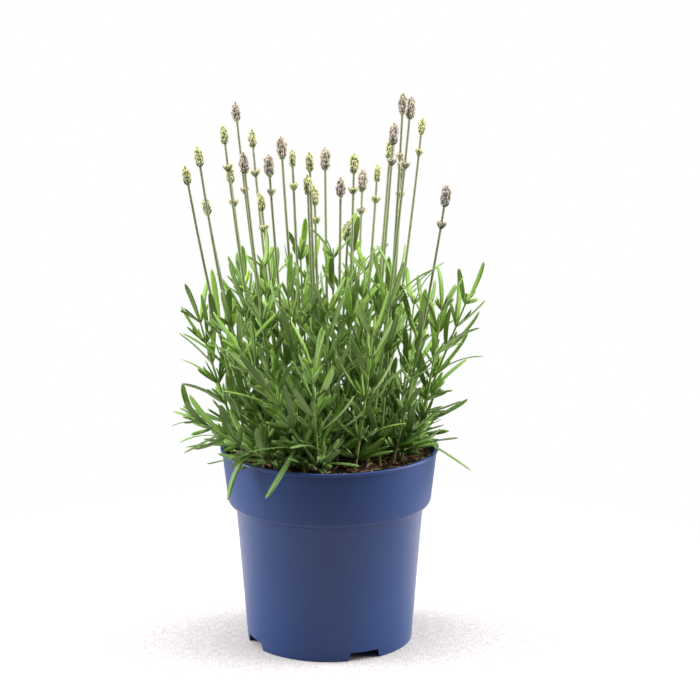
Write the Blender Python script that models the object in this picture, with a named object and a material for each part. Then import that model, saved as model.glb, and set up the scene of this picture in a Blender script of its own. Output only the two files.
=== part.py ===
"""A lavender plant in a round nursery pot.

The pot is a thin plastic shell with a wide collar, a raised floor and four drain notches in
its foot. It is filled with compost. Flowering stems, leafy shoots and low shoots stand on the
compost. Each is a square stem with pairs of narrow leaves, every pair turned a quarter round
from the one below it, and a flowering stem ends in a head of buds.

Metres, +Z up. The origin is the middle of the pot's foot, on the surface that it stands on.
"""

import math
import random

import bmesh
import bpy
from mathutils import Matrix, Vector
from mathutils.bvhtree import BVHTree

# Pot
POT_HEIGHT = 0.137
RIM_RADIUS = 0.075
LIP_OVERHANG = 0.0012
LIP_HEIGHT = 0.0024
COLLAR_HEIGHT = 0.0400
COLLAR_FOOT_RADIUS = 0.0700
SHOULDER_ROUND = 0.0045
SHOULDER_STEPS = 4
BODY_TOP_RADIUS = 0.0645
BASE_RADIUS = 0.0570
WALL = 0.0014
FLOOR_LIFT = 0.0070
FLOOR_THICKNESS = 0.0018
POT_SIDES = 40
LIP_EDGE_SHARE = 0.6

# Drain notches in the foot, and drain holes in the floor
NOTCH_COUNT = 4
NOTCH_TURN = math.radians(-65)
NOTCH_WIDTH_TOP = 0.0205
NOTCH_WIDTH_FOOT = 0.0270
NOTCH_HEIGHT = 0.0060
NOTCH_DEPTH_SHARE = 1 / 3
DRAIN_HOLES = 6
DRAIN_HOLE_RADIUS = 0.0050
DRAIN_RING_RADIUS = 0.0360
DRAIN_HOLE_SIDES = 10

# Compost
COMPOST_BELOW_RIM = 0.0060
CLEARANCE = 0.0003

# Stems, and the heads and lone whorls on them. A section's height is a share of the head's
# length below its top, and its width a share of the head's widest
STEM_HALF_SIDE = 0.0010
TIP_HALF_SIDE = 0.0007
HEAD_LENGTH = 0.0130
HEAD_HALF_SIDE = 0.0027
HEAD_SECTIONS = ((0.75, 1.00), (0.30, 0.92), (0.00, 0.35))
WHORL_HALF_SIDE = 0.0021
WHORL_LENGTH = 0.0050
WHORL_WIDEST = 0.3
CORNER_SIGNS = ((1, 1), (-1, 1), (-1, -1), (1, -1))
LENGTH_STEPS = 12

# Leaves: their size, and how their upper side leans back to the stem
LEAF_LENGTH = 0.040
LEAF_HALF_WIDTH = 0.0020
LEAF_HALF_THICKNESS = 0.00045
LEAF_BASE_LENGTH = 0.0020
UPPER_SIDE_LEAN = 0.6

# How a leaf grows. Angles are radians from the stem, first at its foot and then at its tip
FLOWER_LEAF_ANGLES = (0.72, 0.42)
SHOOT_LEAF_ANGLES = (1.05, 0.30)
LEAST_SPREAD = 0.24
ANGLE_RUN = 1.15
ANGLE_CHANCE = 0.14
SWING_CHANCE = 0.20
CURL_INWARD = 0.25
CURL_OUTWARD = 0.40
CURL_DROP = 0.5
FOOT_LEAF_SIZE = 0.80
LEAF_SIZE_GAIN = 0.90
LEAF_SIZE_LOSS = 1.00
SMALLEST_LEAF = 0.86
BIGGEST_LEAF = 1.14
LEAF_TRIES = 9
LEAF_SHRINK = 0.95
LOOSER_EACH_TRY = 0.35
BESIDE_STEM = 0.09
LEAF_LINE_STEPS = 4

# The plant's outline, and the ring that the stems' feet keep within
SEED = 7
REACH_ACROSS = 0.105
REACH_DEEP = 0.088
FEET_MARGIN = 0.012
FEET_APART = 0.0075
FLOWER_DEPTH = 0.066

# Flowering stems: how far to the side the head stands, how high its top is above the rim, and
# how far below the head the lone whorl sits, or 0 where there is none
FLOWERS = (
    (-0.063, 0.236, 0.045),
    (0.049, 0.241, 0.026),
    (0.042, 0.211, 0.000),
    (-0.013, 0.202, 0.009),
    (-0.095, 0.193, 0.000),
    (0.033, 0.193, 0.008),
    (-0.040, 0.201, 0.010),
    (0.064, 0.226, 0.009),
    (-0.071, 0.220, 0.013),
    (0.008, 0.186, 0.000),
    (-0.053, 0.217, 0.014),
    (0.017, 0.202, 0.010),
    (-0.086, 0.206, 0.000),
    (0.044, 0.222, 0.011),
    (-0.024, 0.204, 0.009),
    (-0.069, 0.194, 0.012),
    (0.013, 0.156, 0.000),
    (0.054, 0.239, 0.030),
    (-0.003, 0.205, 0.000),
    (-0.057, 0.202, 0.000),
    (0.023, 0.190, 0.014),
    (-0.010, 0.179, 0.008),
    (-0.082, 0.172, 0.000),
    (0.050, 0.198, 0.010),
    (-0.032, 0.213, 0.000),
    (0.078, 0.181, 0.012),
    (-0.047, 0.174, 0.009),
    (-0.014, 0.187, 0.000),
)

FLOWER_DEPTH_FALL = 0.14
FLOWER_FOOT_ACROSS = 0.55
FLOWER_FOOT_DEEP = 0.60
FLOWER_LEAN = 0.62
FLOWER_PAIRS = 4
FLOWER_FIRST_PAIR = 0.06
FLOWER_LAST_PAIR = 0.44

# Leafy shoots set by hand: the foot, the tip, and the height of the tip above the rim
PLACED_SHOOTS = (
    ((-0.024, -0.046), (-0.090, -0.058), 0.034),
    ((-0.022, -0.034), (-0.036, -0.050), 0.060),
    ((0.000, -0.040), (-0.001, -0.046), 0.108),
    ((0.052, 0.014), (0.094, -0.008), 0.106),
    ((-0.010, -0.052), (-0.060, -0.066), 0.085),
    ((0.048, -0.008), (0.013, -0.036), 0.098),
)
PLACED_LEAN = 0.50

# Leafy shoots that fill the bush: each turns by the golden angle and stands further out
GROWN_SHOOTS = 18
GROWN_START = 0.6
GROWN_FOOT_OUT = 0.056
GROWN_TIP_ACROSS = 0.090
GROWN_TIP_DEEP = 0.082
GROWN_RISE = 0.150
GROWN_RISE_FALL = 0.075
GROWN_RISE_CHANCE = 0.015
GROWN_LEAN = 0.62
LEAFY_PAIRS = 7
LEAFY_FIRST_PAIR = 0.07
LEAFY_LAST_PAIR = 0.955
GOLDEN_TURN = math.radians(137.5)
GOLDEN_SHARE = 0.618034

# Low shoots by the rim: the way each faces, how far below the rim the tip of its draped leaf
# hangs, and how far round the rim that leaf swings
LOW_SHOOTS = (
    (-137, 0.021, -4),
    (-112, 0.012, -16),
    (-18, 0.010, 10),
    (48, 0.016, -8),
    (108, 0.020, 12),
    (172, 0.008, 14),
)
LOW_SHOOT_HEIGHT = 0.022
LOW_FOOT_OUT = 0.050
LOW_TIP_OUT = 0.058
LOW_LEAN = 0.30
LOW_PAIRS = 3
LOW_FIRST_PAIR = 0.25
LOW_LAST_PAIR = 0.92
DRAPE_OUT = 0.0060
DRAPE_RISE = 0.0030
DRAPE_REACH = 1.6
DRAPE_LEVEL_REACH = 0.8

# Room between stems
STEM_TRIES = 120
STEM_ROOM = 0.0006
FOOT_WANDER = 0.0020
WIDER_EACH_TRY = 0.0012
MERGE_DISTANCE = 0.00001

COMPOST_TOP = POT_HEIGHT - COMPOST_BELOW_RIM
FLOOR_TOP = FLOOR_LIFT + FLOOR_THICKNESS
COLLAR_FOOT = POT_HEIGHT - COLLAR_HEIGHT
STEM_FOOT = COMPOST_TOP + CLEARANCE


class Leaf:
    """One leaf: where it sits on its stem, and the three points that its middle runs through."""

    def __init__(self, share, outward, root, middle, tip):
        self.share = share
        self.outward = outward
        self.root = root
        self.middle = middle
        self.tip = tip

    def directions(self):
        """The leaf's own length, width and upper side."""
        along = (self.tip - self.root).normalized()
        up = Vector((0, 0, 1)) - self.outward * UPPER_SIDE_LEAN
        rise = (up - along * along.dot(up)).normalized()
        return along, rise.cross(along), rise


class Shoot:
    """One stem that stands on the compost, with its leaves and, on some, a head of buds."""

    def __init__(self, name, foot, bow, tip, turn):
        self.name = name
        self.foot = foot
        self.bow = bow
        self.tip = tip
        self.facing = Vector((math.cos(turn), math.sin(turn), 0))
        self.head = False
        self.whorl = 0.0
        self.pairs = []
        self.leaves = []

    def point(self, share):
        rest = 1 - share
        return self.foot * rest**2 + self.bow * (2 * rest * share) + self.tip * share**2

    def length(self):
        steps = [self.point(step / LENGTH_STEPS) for step in range(LENGTH_STEPS + 1)]
        return sum((after - before).length for before, after in zip(steps, steps[1:]))

    def frame(self, share):
        """The point at a share of the stem, its direction, and where two of its sides face."""
        slope = (self.bow - self.foot) * (1 - share) + (self.tip - self.bow) * share
        along = slope.normalized()
        side = (self.facing - along * along.dot(self.facing)).normalized()
        return self.point(share), along, side, along.cross(side)

    def sides(self, share):
        _, _, side, other = self.frame(share)
        return side, other, -side, -other

    def corners(self, share, half):
        """The corners of a square cross section, in turn. The foot is cut level."""
        point, along, side, other = self.frame(share)
        corners = [point + side * (half * a) + other * (half * b) for a, b in CORNER_SIGNS]
        if share > 0:
            return corners
        return [corner + along * ((self.foot.z - corner.z) / along.z) for corner in corners]

    def levels(self):
        """The cross sections from foot to tip: the share of the length, half the side, and
        the share of the leaf pair whose band ends there, or None."""
        unit = 1 / self.length()
        half_base = LEAF_BASE_LENGTH / 2 * unit
        rows = [(0.0, STEM_HALF_SIDE, None)]
        for pair in self.pairs:
            rows.append((pair - half_base, STEM_HALF_SIDE, None))
            rows.append((pair + half_base, STEM_HALF_SIDE, pair))
        if self.head:
            rows += self.head_levels(unit)
        else:
            rows.append((1.0, TIP_HALF_SIDE, None))
        return rows

    def head_levels(self, unit):
        """The cross sections of the head, and of the lone whorl below it if there is one."""
        head = HEAD_LENGTH * unit
        rows = []
        if self.whorl:
            cup = WHORL_LENGTH * unit
            top = 1 - head - self.whorl * unit
            rows.append((top - cup, TIP_HALF_SIDE, None))
            rows.append((top - cup * WHORL_WIDEST, WHORL_HALF_SIDE, None))
            rows.append((top, TIP_HALF_SIDE, None))
        rows.append((1 - head, TIP_HALF_SIDE, None))
        for below, width in HEAD_SECTIONS:
            rows.append((1 - head * below, HEAD_HALF_SIDE * width, None))
        return rows


class Space:
    """The room that stems and leaves already fill."""

    def __init__(self):
        self.rows = []

    def add(self, owner, points, faces):
        low = [min(point[axis] for point in points) for axis in range(3)]
        high = [max(point[axis] for point in points) for axis in range(3)]
        self.rows.append((owner, low, high, BVHTree.FromPolygons(points, faces)))

    def is_free(self, points, faces, leaving_out=None):
        low = [min(point[axis] for point in points) for axis in range(3)]
        high = [max(point[axis] for point in points) for axis in range(3)]
        tree = None
        for owner, other_low, other_high, other in self.rows:
            if owner == leaving_out:
                continue
            if any(low[axis] > other_high[axis] or high[axis] < other_low[axis] for axis in range(3)):
                continue
            tree = tree or BVHTree.FromPolygons(points, faces)
            if tree.overlap(other):
                return False
        return True


def tube_faces(rings):
    """The faces of a square tube with this many cross sections, its ends closed."""
    faces = [(3, 2, 1, 0), tuple(4 * rings - 4 + corner for corner in range(4))]
    for ring in range(rings - 1):
        for corner in range(4):
            after = (corner + 1) % 4
            low, high = 4 * ring, 4 * ring + 4
            faces.append((low + corner, low + after, high + after, high + corner))
    return faces


def stem_room(shoot):
    """The room that a stem needs, with a clearance all round it."""
    rows = shoot.levels()
    points = []
    for share, half, _ in rows:
        points += shoot.corners(share, half + STEM_ROOM)
    return points, tube_faces(len(rows))


def leaf_room(leaf):
    """The room that a leaf needs, from just clear of its own stem to its tip."""
    _, across, rise = leaf.directions()
    beside = leaf.root.lerp(leaf.middle, BESIDE_STEM)
    sections = (
        (beside, STEM_HALF_SIDE, LEAF_BASE_LENGTH / 2),
        (leaf.middle, LEAF_HALF_WIDTH, LEAF_HALF_THICKNESS),
        (leaf.tip, 0, 0),
    )
    points = []
    for place, half_width, half_thick in sections:
        aside = across * (half_width + CLEARANCE)
        above = rise * (half_thick + CLEARANCE)
        points += [place + aside * a + above * b for a, b in CORNER_SIGNS]
    return points, tube_faces(len(sections))


def is_clear_of_pot(point):
    """Whether a leaf's middle line may pass here: over the compost, over the rim or outside it."""
    out = math.hypot(point.x, point.y)
    if abs(point.x) > REACH_ACROSS or abs(point.y) > REACH_DEEP:
        return False
    if out < RIM_RADIUS - WALL - LEAF_HALF_WIDTH:
        return point.z > COMPOST_TOP + LEAF_HALF_WIDTH
    if out < RIM_RADIUS + LEAF_HALF_WIDTH + CLEARANCE:
        return point.z > POT_HEIGHT + LEAF_HALF_THICKNESS + CLEARANCE * 2
    return point.z > 0


def leaf_fits(leaf, owner, space):
    shares = [step / LEAF_LINE_STEPS for step in range(1, LEAF_LINE_STEPS + 1)]
    line = [leaf.root.lerp(leaf.middle, share) for share in shares]
    line += [leaf.middle.lerp(leaf.tip, share) for share in shares]
    if not all(is_clear_of_pot(point) for point in line):
        return False
    points, faces = leaf_room(leaf)
    return space.is_free(points, faces, leaving_out=owner)


def leaf_way(shoot, share, outward, chance, spread, attempt):
    """One try at a leaf: low leaves stand out from the stem, and high ones stay close to it."""
    point, along, _, _ = shoot.frame(share)
    sideways = along.cross(outward)
    loose = 1 + attempt * LOOSER_EACH_TRY
    angle = max(LEAST_SPREAD, spread + chance.uniform(-ANGLE_CHANCE, ANGLE_CHANCE) * loose)
    swing = chance.uniform(-SWING_CHANCE, SWING_CHANCE) * loose
    curl = chance.uniform(-CURL_INWARD, CURL_OUTWARD)
    size = chance.uniform(SMALLEST_LEAF, BIGGEST_LEAF) * LEAF_SHRINK**attempt
    if not shoot.head:
        size *= FOOT_LEAF_SIZE + LEAF_SIZE_GAIN * share - LEAF_SIZE_LOSS * share**2
    length = LEAF_LENGTH * size
    start = along * math.cos(angle) + outward * math.sin(angle) + sideways * swing
    start.normalize()
    finish = (start + outward * curl - along * (curl * CURL_DROP)).normalized()
    root = point + outward * STEM_HALF_SIDE
    middle = root + start * (length / 2)
    return Leaf(share, outward, root, middle, middle + finish * (length / 2))


def grow_leaf(shoot, share, outward, chance, space):
    """Adds the first try that meets nothing. A leaf that finds no room is left out."""
    low, high = FLOWER_LEAF_ANGLES if shoot.head else SHOOT_LEAF_ANGLES
    spread = low + (high - low) * min(1, share * ANGLE_RUN)
    for attempt in range(LEAF_TRIES):
        leaf = leaf_way(shoot, share, outward, chance, spread, attempt)
        if leaf_fits(leaf, shoot.name, space):
            shoot.leaves.append(leaf)
            space.add(shoot.name + " leaf", *leaf_room(leaf))
            return


def drape_leaf(shoot, drop, swing, space):
    """Hangs one leaf of a low shoot over the rim. The less it drops, the further it reaches."""
    share = shoot.pairs[-1]
    out = Vector((shoot.tip.x, shoot.tip.y, 0)).normalized()
    outward = max(shoot.sides(share), key=out.dot)
    root = shoot.point(share) + outward * STEM_HALF_SIDE
    middle = out * (RIM_RADIUS + DRAPE_OUT)
    middle.z = POT_HEIGHT + DRAPE_RISE
    reach = DRAPE_OUT * DRAPE_REACH + (LOW_SHOOT_HEIGHT - drop) * DRAPE_LEVEL_REACH
    way = Vector((math.cos(swing), math.sin(swing), 0))
    way.rotate(out.to_track_quat("X", "Z"))
    tip = middle + way * reach
    tip.z = POT_HEIGHT - drop
    leaf = Leaf(share, outward, root, middle, tip)
    shoot.leaves.append(leaf)
    space.add(shoot.name + " leaf", *leaf_room(leaf))


def stem_stands(shoot, feet, space):
    if any((shoot.foot - foot).length < FEET_APART for foot in feet):
        return False
    points, faces = stem_room(shoot)
    return space.is_free(points, faces)


def set_stem(make, feet, space):
    """Moves a stem's foot about until the stem crosses no other, then keeps it."""
    for attempt in range(STEM_TRIES):
        shoot = make(attempt)
        if stem_stands(shoot, feet, space):
            break
    feet.append(shoot.foot)
    space.add(shoot.name, *stem_room(shoot))
    return shoot


def foot_near(across, deep, chance, attempt):
    """A foot on the compost close to a place, kept inside the rim."""
    wander = FOOT_WANDER + WIDER_EACH_TRY * attempt
    across += chance.uniform(-wander, wander)
    deep += chance.uniform(-wander, wander)
    most = RIM_RADIUS - WALL - FEET_MARGIN
    out = math.hypot(across, deep)
    if out > most:
        across *= most / out
        deep *= most / out
    return Vector((across, deep, STEM_FOOT))


def stem_bow(foot, tip, lean):
    """The middle control point of a stem: it leans out low down, and then turns upwards."""
    return Vector(
        (
            foot.x + (tip.x - foot.x) * lean,
            foot.y + (tip.y - foot.y) * lean,
            foot.z + (tip.z - foot.z) * 0.5,
        )
    )


def evenly(count, first, last):
    return [first + (last - first) * step / (count - 1) for step in range(count)]


def flower_depth(number, across):
    """How far back a head stands: a share of the depth that the outline leaves at its side."""
    share = ((number + 1) * GOLDEN_SHARE) % 1 * 2 - 1
    return share * FLOWER_DEPTH * math.sqrt(1 - (across / REACH_ACROSS) ** 2)


def flowering_stem(number, row, chance):
    across, height, whorl = row
    deep = flower_depth(number, across)
    tip = Vector((across, deep, POT_HEIGHT + height - deep * FLOWER_DEPTH_FALL))

    def make(attempt):
        foot = foot_near(across * FLOWER_FOOT_ACROSS, deep * FLOWER_FOOT_DEEP, chance, attempt)
        bow = stem_bow(foot, tip, FLOWER_LEAN)
        shoot = Shoot(f"flower_stem_{number + 1:02d}", foot, bow, tip, chance.uniform(0, math.pi))
        shoot.head = True
        shoot.whorl = whorl
        shoot.pairs = evenly(FLOWER_PAIRS, FLOWER_FIRST_PAIR, FLOWER_LAST_PAIR)
        return shoot

    return make


def placed_shoot(number, row, chance):
    start, end, height = row
    tip = Vector((end[0], end[1], POT_HEIGHT + height))

    def make(attempt):
        foot = foot_near(start[0], start[1], chance, attempt)
        bow = stem_bow(foot, tip, PLACED_LEAN)
        return leafy_shoot(number, foot, bow, tip, chance)

    return make


def grown_shoot(number, chance):
    place = number - len(PLACED_SHOOTS)
    turn = place * GOLDEN_TURN
    out = math.sqrt((place + GROWN_START) / GROWN_SHOOTS)
    across = math.cos(turn) * out
    deep = math.sin(turn) * out
    rise = GROWN_RISE - GROWN_RISE_FALL * out**2
    rise += chance.uniform(-GROWN_RISE_CHANCE, GROWN_RISE_CHANCE)
    tip = Vector((across * GROWN_TIP_ACROSS, deep * GROWN_TIP_DEEP, POT_HEIGHT + rise))

    def make(attempt):
        foot = foot_near(across * GROWN_FOOT_OUT, deep * GROWN_FOOT_OUT, chance, attempt)
        bow = stem_bow(foot, tip, GROWN_LEAN)
        return leafy_shoot(number, foot, bow, tip, chance)

    return make


def leafy_shoot(number, foot, bow, tip, chance):
    shoot = Shoot(f"leafy_shoot_{number + 1:02d}", foot, bow, tip, chance.uniform(0, math.pi))
    shoot.pairs = evenly(LEAFY_PAIRS, LEAFY_FIRST_PAIR, LEAFY_LAST_PAIR)
    return shoot


def low_shoot(number, turn, chance):
    out = Vector((math.cos(turn), math.sin(turn), 0))
    tip = out * LOW_TIP_OUT + Vector((0, 0, COMPOST_TOP + LOW_SHOOT_HEIGHT))

    def make(attempt):
        foot = foot_near(out.x * LOW_FOOT_OUT, out.y * LOW_FOOT_OUT, chance, attempt)
        bow = stem_bow(foot, tip, LOW_LEAN)
        shoot = Shoot(f"low_shoot_{number + 1}", foot, bow, tip, turn)
        shoot.pairs = evenly(LOW_PAIRS, LOW_FIRST_PAIR, LOW_LAST_PAIR)
        return shoot

    return make


def grow_plant():
    """Sets every stem, then fills the stems with leaves, pair by pair from the foot up."""
    chance = random.Random(SEED)
    makers = []
    for number, (turn, _, _) in enumerate(LOW_SHOOTS):
        makers.append(low_shoot(number, math.radians(turn), chance))
    for number, row in enumerate(PLACED_SHOOTS):
        makers.append(placed_shoot(number, row, chance))
    for number, row in enumerate(FLOWERS):
        makers.append(flowering_stem(number, row, chance))
    for number in range(len(PLACED_SHOOTS), len(PLACED_SHOOTS) + GROWN_SHOOTS):
        makers.append(grown_shoot(number, chance))
    space = Space()
    feet = []
    shoots = []
    for number, make in enumerate(makers):
        shoot = set_stem(make, feet, space)
        if number < len(LOW_SHOOTS):
            _, drop, swing = LOW_SHOOTS[number]
            drape_leaf(shoot, drop, math.radians(swing), space)
        shoots.append(shoot)
    for level in range(LEAFY_PAIRS):
        for shoot in shoots:
            if level < len(shoot.pairs):
                grow_pair(shoot, level, chance, space)
    return shoots


def grow_pair(shoot, level, chance, space):
    share = shoot.pairs[level]
    outward = shoot.sides(share)
    for side in (level % 2, level % 2 + 2):
        if all(leaf.share != share or leaf.outward != outward[side] for leaf in shoot.leaves):
            grow_leaf(shoot, share, outward[side], chance, space)


def lift(bm, face, corners):
    """Extrudes a face to new corners, given in the order of its own."""
    face = bmesh.ops.extrude_discrete_faces(bm, faces=[face])["faces"][0]
    for vert, corner in zip(face.verts, corners):
        vert.co = corner
    return face


def walls_below(face):
    """The side faces that the last extrusion left under a face."""
    walls = [wall for edge in face.edges for wall in edge.link_faces if wall is not face]
    for wall in walls:
        wall.normal_update()
    return walls


def corner_of(vert):
    """Which corner of a cross section a corner of the first cube stands for."""
    return CORNER_SIGNS.index((round(vert.co.x * 2), round(vert.co.y * 2)))


def draw_stem(bm, shoot):
    """Extrudes the stem from foot to tip. Returns the walls that each leaf pair grows out of."""
    rows = [(shoot.corners(share, half), pair) for share, half, pair in shoot.levels()]
    bmesh.ops.create_cube(bm, size=1)
    faces = sorted(bm.faces, key=lambda face: face.calc_center_median().z)
    bottom, top = faces[0], faces[-1]
    order = [corner_of(vert) for vert in top.verts]
    moves = [(vert, rows[0][0][corner_of(vert)]) for vert in bottom.verts]
    moves += [(vert, rows[1][0][corner_of(vert)]) for vert in top.verts]
    for vert, corner in moves:
        vert.co = corner
    bands = {}
    for corners, pair in rows[2:]:
        top = lift(bm, top, [corners[place] for place in order])
        bands[pair] = walls_below(top)
    return bands


def draw_leaf(bm, walls, leaf, stem_along):
    """Draws one leaf out of the wall of the stem that faces its way."""
    base = max(walls, key=lambda wall: wall.normal.dot(leaf.outward))
    _, across, rise = leaf.directions()
    centre = base.calc_center_median()
    face = bmesh.ops.extrude_discrete_faces(bm, faces=[base])["faces"][0]
    for vert in face.verts:
        aside = math.copysign(LEAF_HALF_WIDTH, (vert.co - centre).dot(across))
        above = math.copysign(LEAF_HALF_THICKNESS, (vert.co - centre).dot(stem_along))
        vert.co = leaf.middle + across * aside + rise * above
    tip = bmesh.ops.poke(bm, faces=[face])["verts"][0]
    tip.co = leaf.tip


def make_shoot(shoot, materials):
    bm = bmesh.new()
    walls = draw_stem(bm, shoot)
    for leaf in shoot.leaves:
        draw_leaf(bm, walls[leaf.share], leaf, shoot.frame(leaf.share)[1])
        walls[leaf.share] = [wall for wall in walls[leaf.share] if wall.is_valid]
    return add_object(shoot.name, bm, materials)


def add_object(name, bm, materials):
    mesh = bpy.data.meshes.new(name)
    bm.to_mesh(mesh)
    bm.free()
    for material in materials:
        mesh.materials.append(material)
    piece = bpy.data.objects.new(name, mesh)
    bpy.context.scene.collection.objects.link(piece)
    return piece


def plain_material(name, colour, roughness):
    material = bpy.data.materials.new(name)
    material.use_nodes = True
    shader = material.node_tree.nodes["Principled BSDF"]
    shader.inputs["Base Color"].default_value = (*colour, 1)
    shader.inputs["Roughness"].default_value = roughness
    shader.inputs["Metallic"].default_value = 0
    return material


def outer_wall():
    """The pot's outer side from foot to rim, as (radius, height)."""
    wall = [(BASE_RADIUS, 0), (BODY_TOP_RADIUS, COLLAR_FOOT)]
    centre = COLLAR_FOOT_RADIUS - SHOULDER_ROUND
    for step in range(SHOULDER_STEPS + 1):
        turn = math.pi / 2 * step / SHOULDER_STEPS
        radius = centre + SHOULDER_ROUND * math.sin(turn)
        wall.append((radius, COLLAR_FOOT + SHOULDER_ROUND * (1 - math.cos(turn))))
    wall.append((RIM_RADIUS - LIP_OVERHANG, POT_HEIGHT - LIP_HEIGHT))
    wall.append((RIM_RADIUS, POT_HEIGHT - LIP_HEIGHT * LIP_EDGE_SHARE))
    wall.append((RIM_RADIUS, POT_HEIGHT))
    return wall


def inner_wall(gap, top):
    """The pot's inner side from the floor to a height, drawn in by a gap."""
    floor_share = FLOOR_TOP / COLLAR_FOOT
    floor_radius = BASE_RADIUS + (BODY_TOP_RADIUS - BASE_RADIUS) * floor_share - WALL
    ledge = COLLAR_FOOT + WALL + gap
    wide = COLLAR_FOOT + SHOULDER_ROUND
    rise = (top - wide) / (POT_HEIGHT - wide)
    foot_radius = COLLAR_FOOT_RADIUS - WALL
    top_radius = foot_radius + (RIM_RADIUS - LIP_OVERHANG - WALL - foot_radius) * rise
    return [
        (floor_radius - gap, FLOOR_TOP + gap),
        (BODY_TOP_RADIUS - WALL - gap, ledge),
        (COLLAR_FOOT_RADIUS - SHOULDER_ROUND - gap, ledge),
        (foot_radius - gap, wide + gap),
        (top_radius - gap, top),
    ]


def spin_profile(profile, sides):
    """Turns a closed outline, from axis to axis, once round Z."""
    bm = bmesh.new()
    verts = [bm.verts.new((radius, 0, height)) for radius, height in profile]
    edges = [bm.edges.new(pair) for pair in zip(verts, verts[1:])]
    bmesh.ops.spin(
        bm,
        geom=verts + edges,
        axis=(0, 0, 1),
        cent=(0, 0, 0),
        steps=sides,
        angle=math.tau,
        use_merge=True,
    )
    bmesh.ops.remove_doubles(bm, verts=bm.verts, dist=MERGE_DISTANCE)
    bmesh.ops.recalc_face_normals(bm, faces=bm.faces)
    return bm


def shade_round(piece):
    piece.data.shade_smooth()
    piece.data.set_sharp_from_angle(angle=math.radians(30))


def make_notch(bm, turn):
    """A wedge that cuts one drain notch, narrower at its top."""
    made = bmesh.ops.create_cube(bm, size=1)["verts"]
    for vert in made:
        is_top = vert.co.z > 0
        width = NOTCH_WIDTH_TOP if is_top else NOTCH_WIDTH_FOOT
        height = NOTCH_HEIGHT if is_top else -NOTCH_HEIGHT
        across = BASE_RADIUS * (1 + vert.co.x * NOTCH_DEPTH_SHARE)
        vert.co = (across, vert.co.y * width, height)
    bmesh.ops.rotate(bm, verts=made, cent=(0, 0, 0), matrix=Matrix.Rotation(turn, 3, "Z"))


def make_drain_hole(bm, turn):
    place = Matrix.Rotation(turn, 4, "Z") @ Matrix.Translation((DRAIN_RING_RADIUS, 0, FLOOR_LIFT))
    bmesh.ops.create_cone(
        bm,
        cap_ends=True,
        segments=DRAIN_HOLE_SIDES,
        radius1=DRAIN_HOLE_RADIUS,
        radius2=DRAIN_HOLE_RADIUS,
        depth=FLOOR_THICKNESS * 4,
        matrix=place,
    )


def make_drain_cutter():
    """The cutter for the notches and the drain holes."""
    bm = bmesh.new()
    for notch in range(NOTCH_COUNT):
        make_notch(bm, NOTCH_TURN + notch * math.tau / NOTCH_COUNT)
    for hole in range(DRAIN_HOLES):
        make_drain_hole(bm, hole * math.tau / DRAIN_HOLES)
    cutter = add_object("drain_cutter", bm, [])
    cutter.hide_render = True
    cutter.display_type = "WIRE"
    return cutter


def make_pot():
    """The shell: up the outside, down the inside, with a recess under the raised floor."""
    foot_inside = BASE_RADIUS - WALL
    profile = [(0, FLOOR_LIFT), (foot_inside, FLOOR_LIFT), (foot_inside, 0)]
    profile += outer_wall()
    profile += reversed(inner_wall(0, POT_HEIGHT))
    profile.append((0, FLOOR_TOP))
    pot = add_object("pot", spin_profile(profile, POT_SIDES), [pot_plastic()])
    cut = pot.modifiers.new("drain openings", "BOOLEAN")
    cut.operation = "DIFFERENCE"
    cut.object = make_drain_cutter()
    shade_round(pot)
    return pot


def make_compost():
    """The compost, which fills the pot to just below the rim."""
    profile = [(0, FLOOR_TOP + CLEARANCE)]
    profile += inner_wall(CLEARANCE, COMPOST_TOP)
    profile.append((0, COMPOST_TOP))
    compost = add_object("compost", spin_profile(profile, POT_SIDES), [compost_mix()])
    shade_round(compost)
    return compost


def pot_plastic():
    return plain_material("blue pot plastic", (0.021, 0.050, 0.165), 0.40)


def compost_mix():
    return plain_material("dark compost", (0.035, 0.022, 0.012), 0.95)


def flower_stem_green():
    return plain_material("grey-green flower stem", (0.170, 0.240, 0.075), 0.60)


def leaf_green():
    return plain_material("fresh leaf green", (0.112, 0.222, 0.026), 0.55)


def low_leaf_green():
    return plain_material("deep leaf green", (0.062, 0.138, 0.015), 0.60)


def clear_scene():
    for piece in list(bpy.data.objects):
        bpy.data.objects.remove(piece, do_unlink=True)


def main():
    clear_scene()
    make_pot()
    make_compost()
    greens = {
        "flower": flower_stem_green(),
        "leafy": leaf_green(),
        "low": low_leaf_green(),
    }
    for shoot in grow_plant():
        kind = shoot.name.split("_")[0]
        make_shoot(shoot, [greens[kind]])


main()
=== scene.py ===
"""The looks of the potted lavender: leaves, stems, flower heads, compost and the pot.

The plant grows by the same rule and the same sizes as the solids that it stands for, so every
leaf and stem here lies on one of theirs. What the solids leave out is added on top: the blade
of each leaf with its groove, the young leaves in the leaf joints, the buds of each head, and
the crumbs, bark and fibres of the compost.
"""

import math
import random

import bmesh
import bpy
from mathutils import Matrix, Vector, noise
from mathutils.bvhtree import BVHTree

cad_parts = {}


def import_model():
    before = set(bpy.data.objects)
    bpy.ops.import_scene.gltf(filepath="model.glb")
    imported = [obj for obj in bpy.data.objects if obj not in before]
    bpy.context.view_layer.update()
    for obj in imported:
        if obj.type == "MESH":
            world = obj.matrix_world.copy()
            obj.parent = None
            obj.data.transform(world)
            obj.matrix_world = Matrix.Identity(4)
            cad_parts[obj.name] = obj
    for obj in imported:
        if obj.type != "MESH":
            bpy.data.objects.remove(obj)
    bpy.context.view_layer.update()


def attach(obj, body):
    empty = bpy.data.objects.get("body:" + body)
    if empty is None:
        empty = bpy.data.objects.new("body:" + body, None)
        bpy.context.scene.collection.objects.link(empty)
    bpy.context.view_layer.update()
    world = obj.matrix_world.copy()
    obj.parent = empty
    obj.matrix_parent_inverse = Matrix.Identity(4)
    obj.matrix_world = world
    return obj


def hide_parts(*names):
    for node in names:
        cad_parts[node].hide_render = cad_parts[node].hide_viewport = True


# Pot
POT_HEIGHT = 0.137
RIM_RADIUS = 0.075
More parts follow.
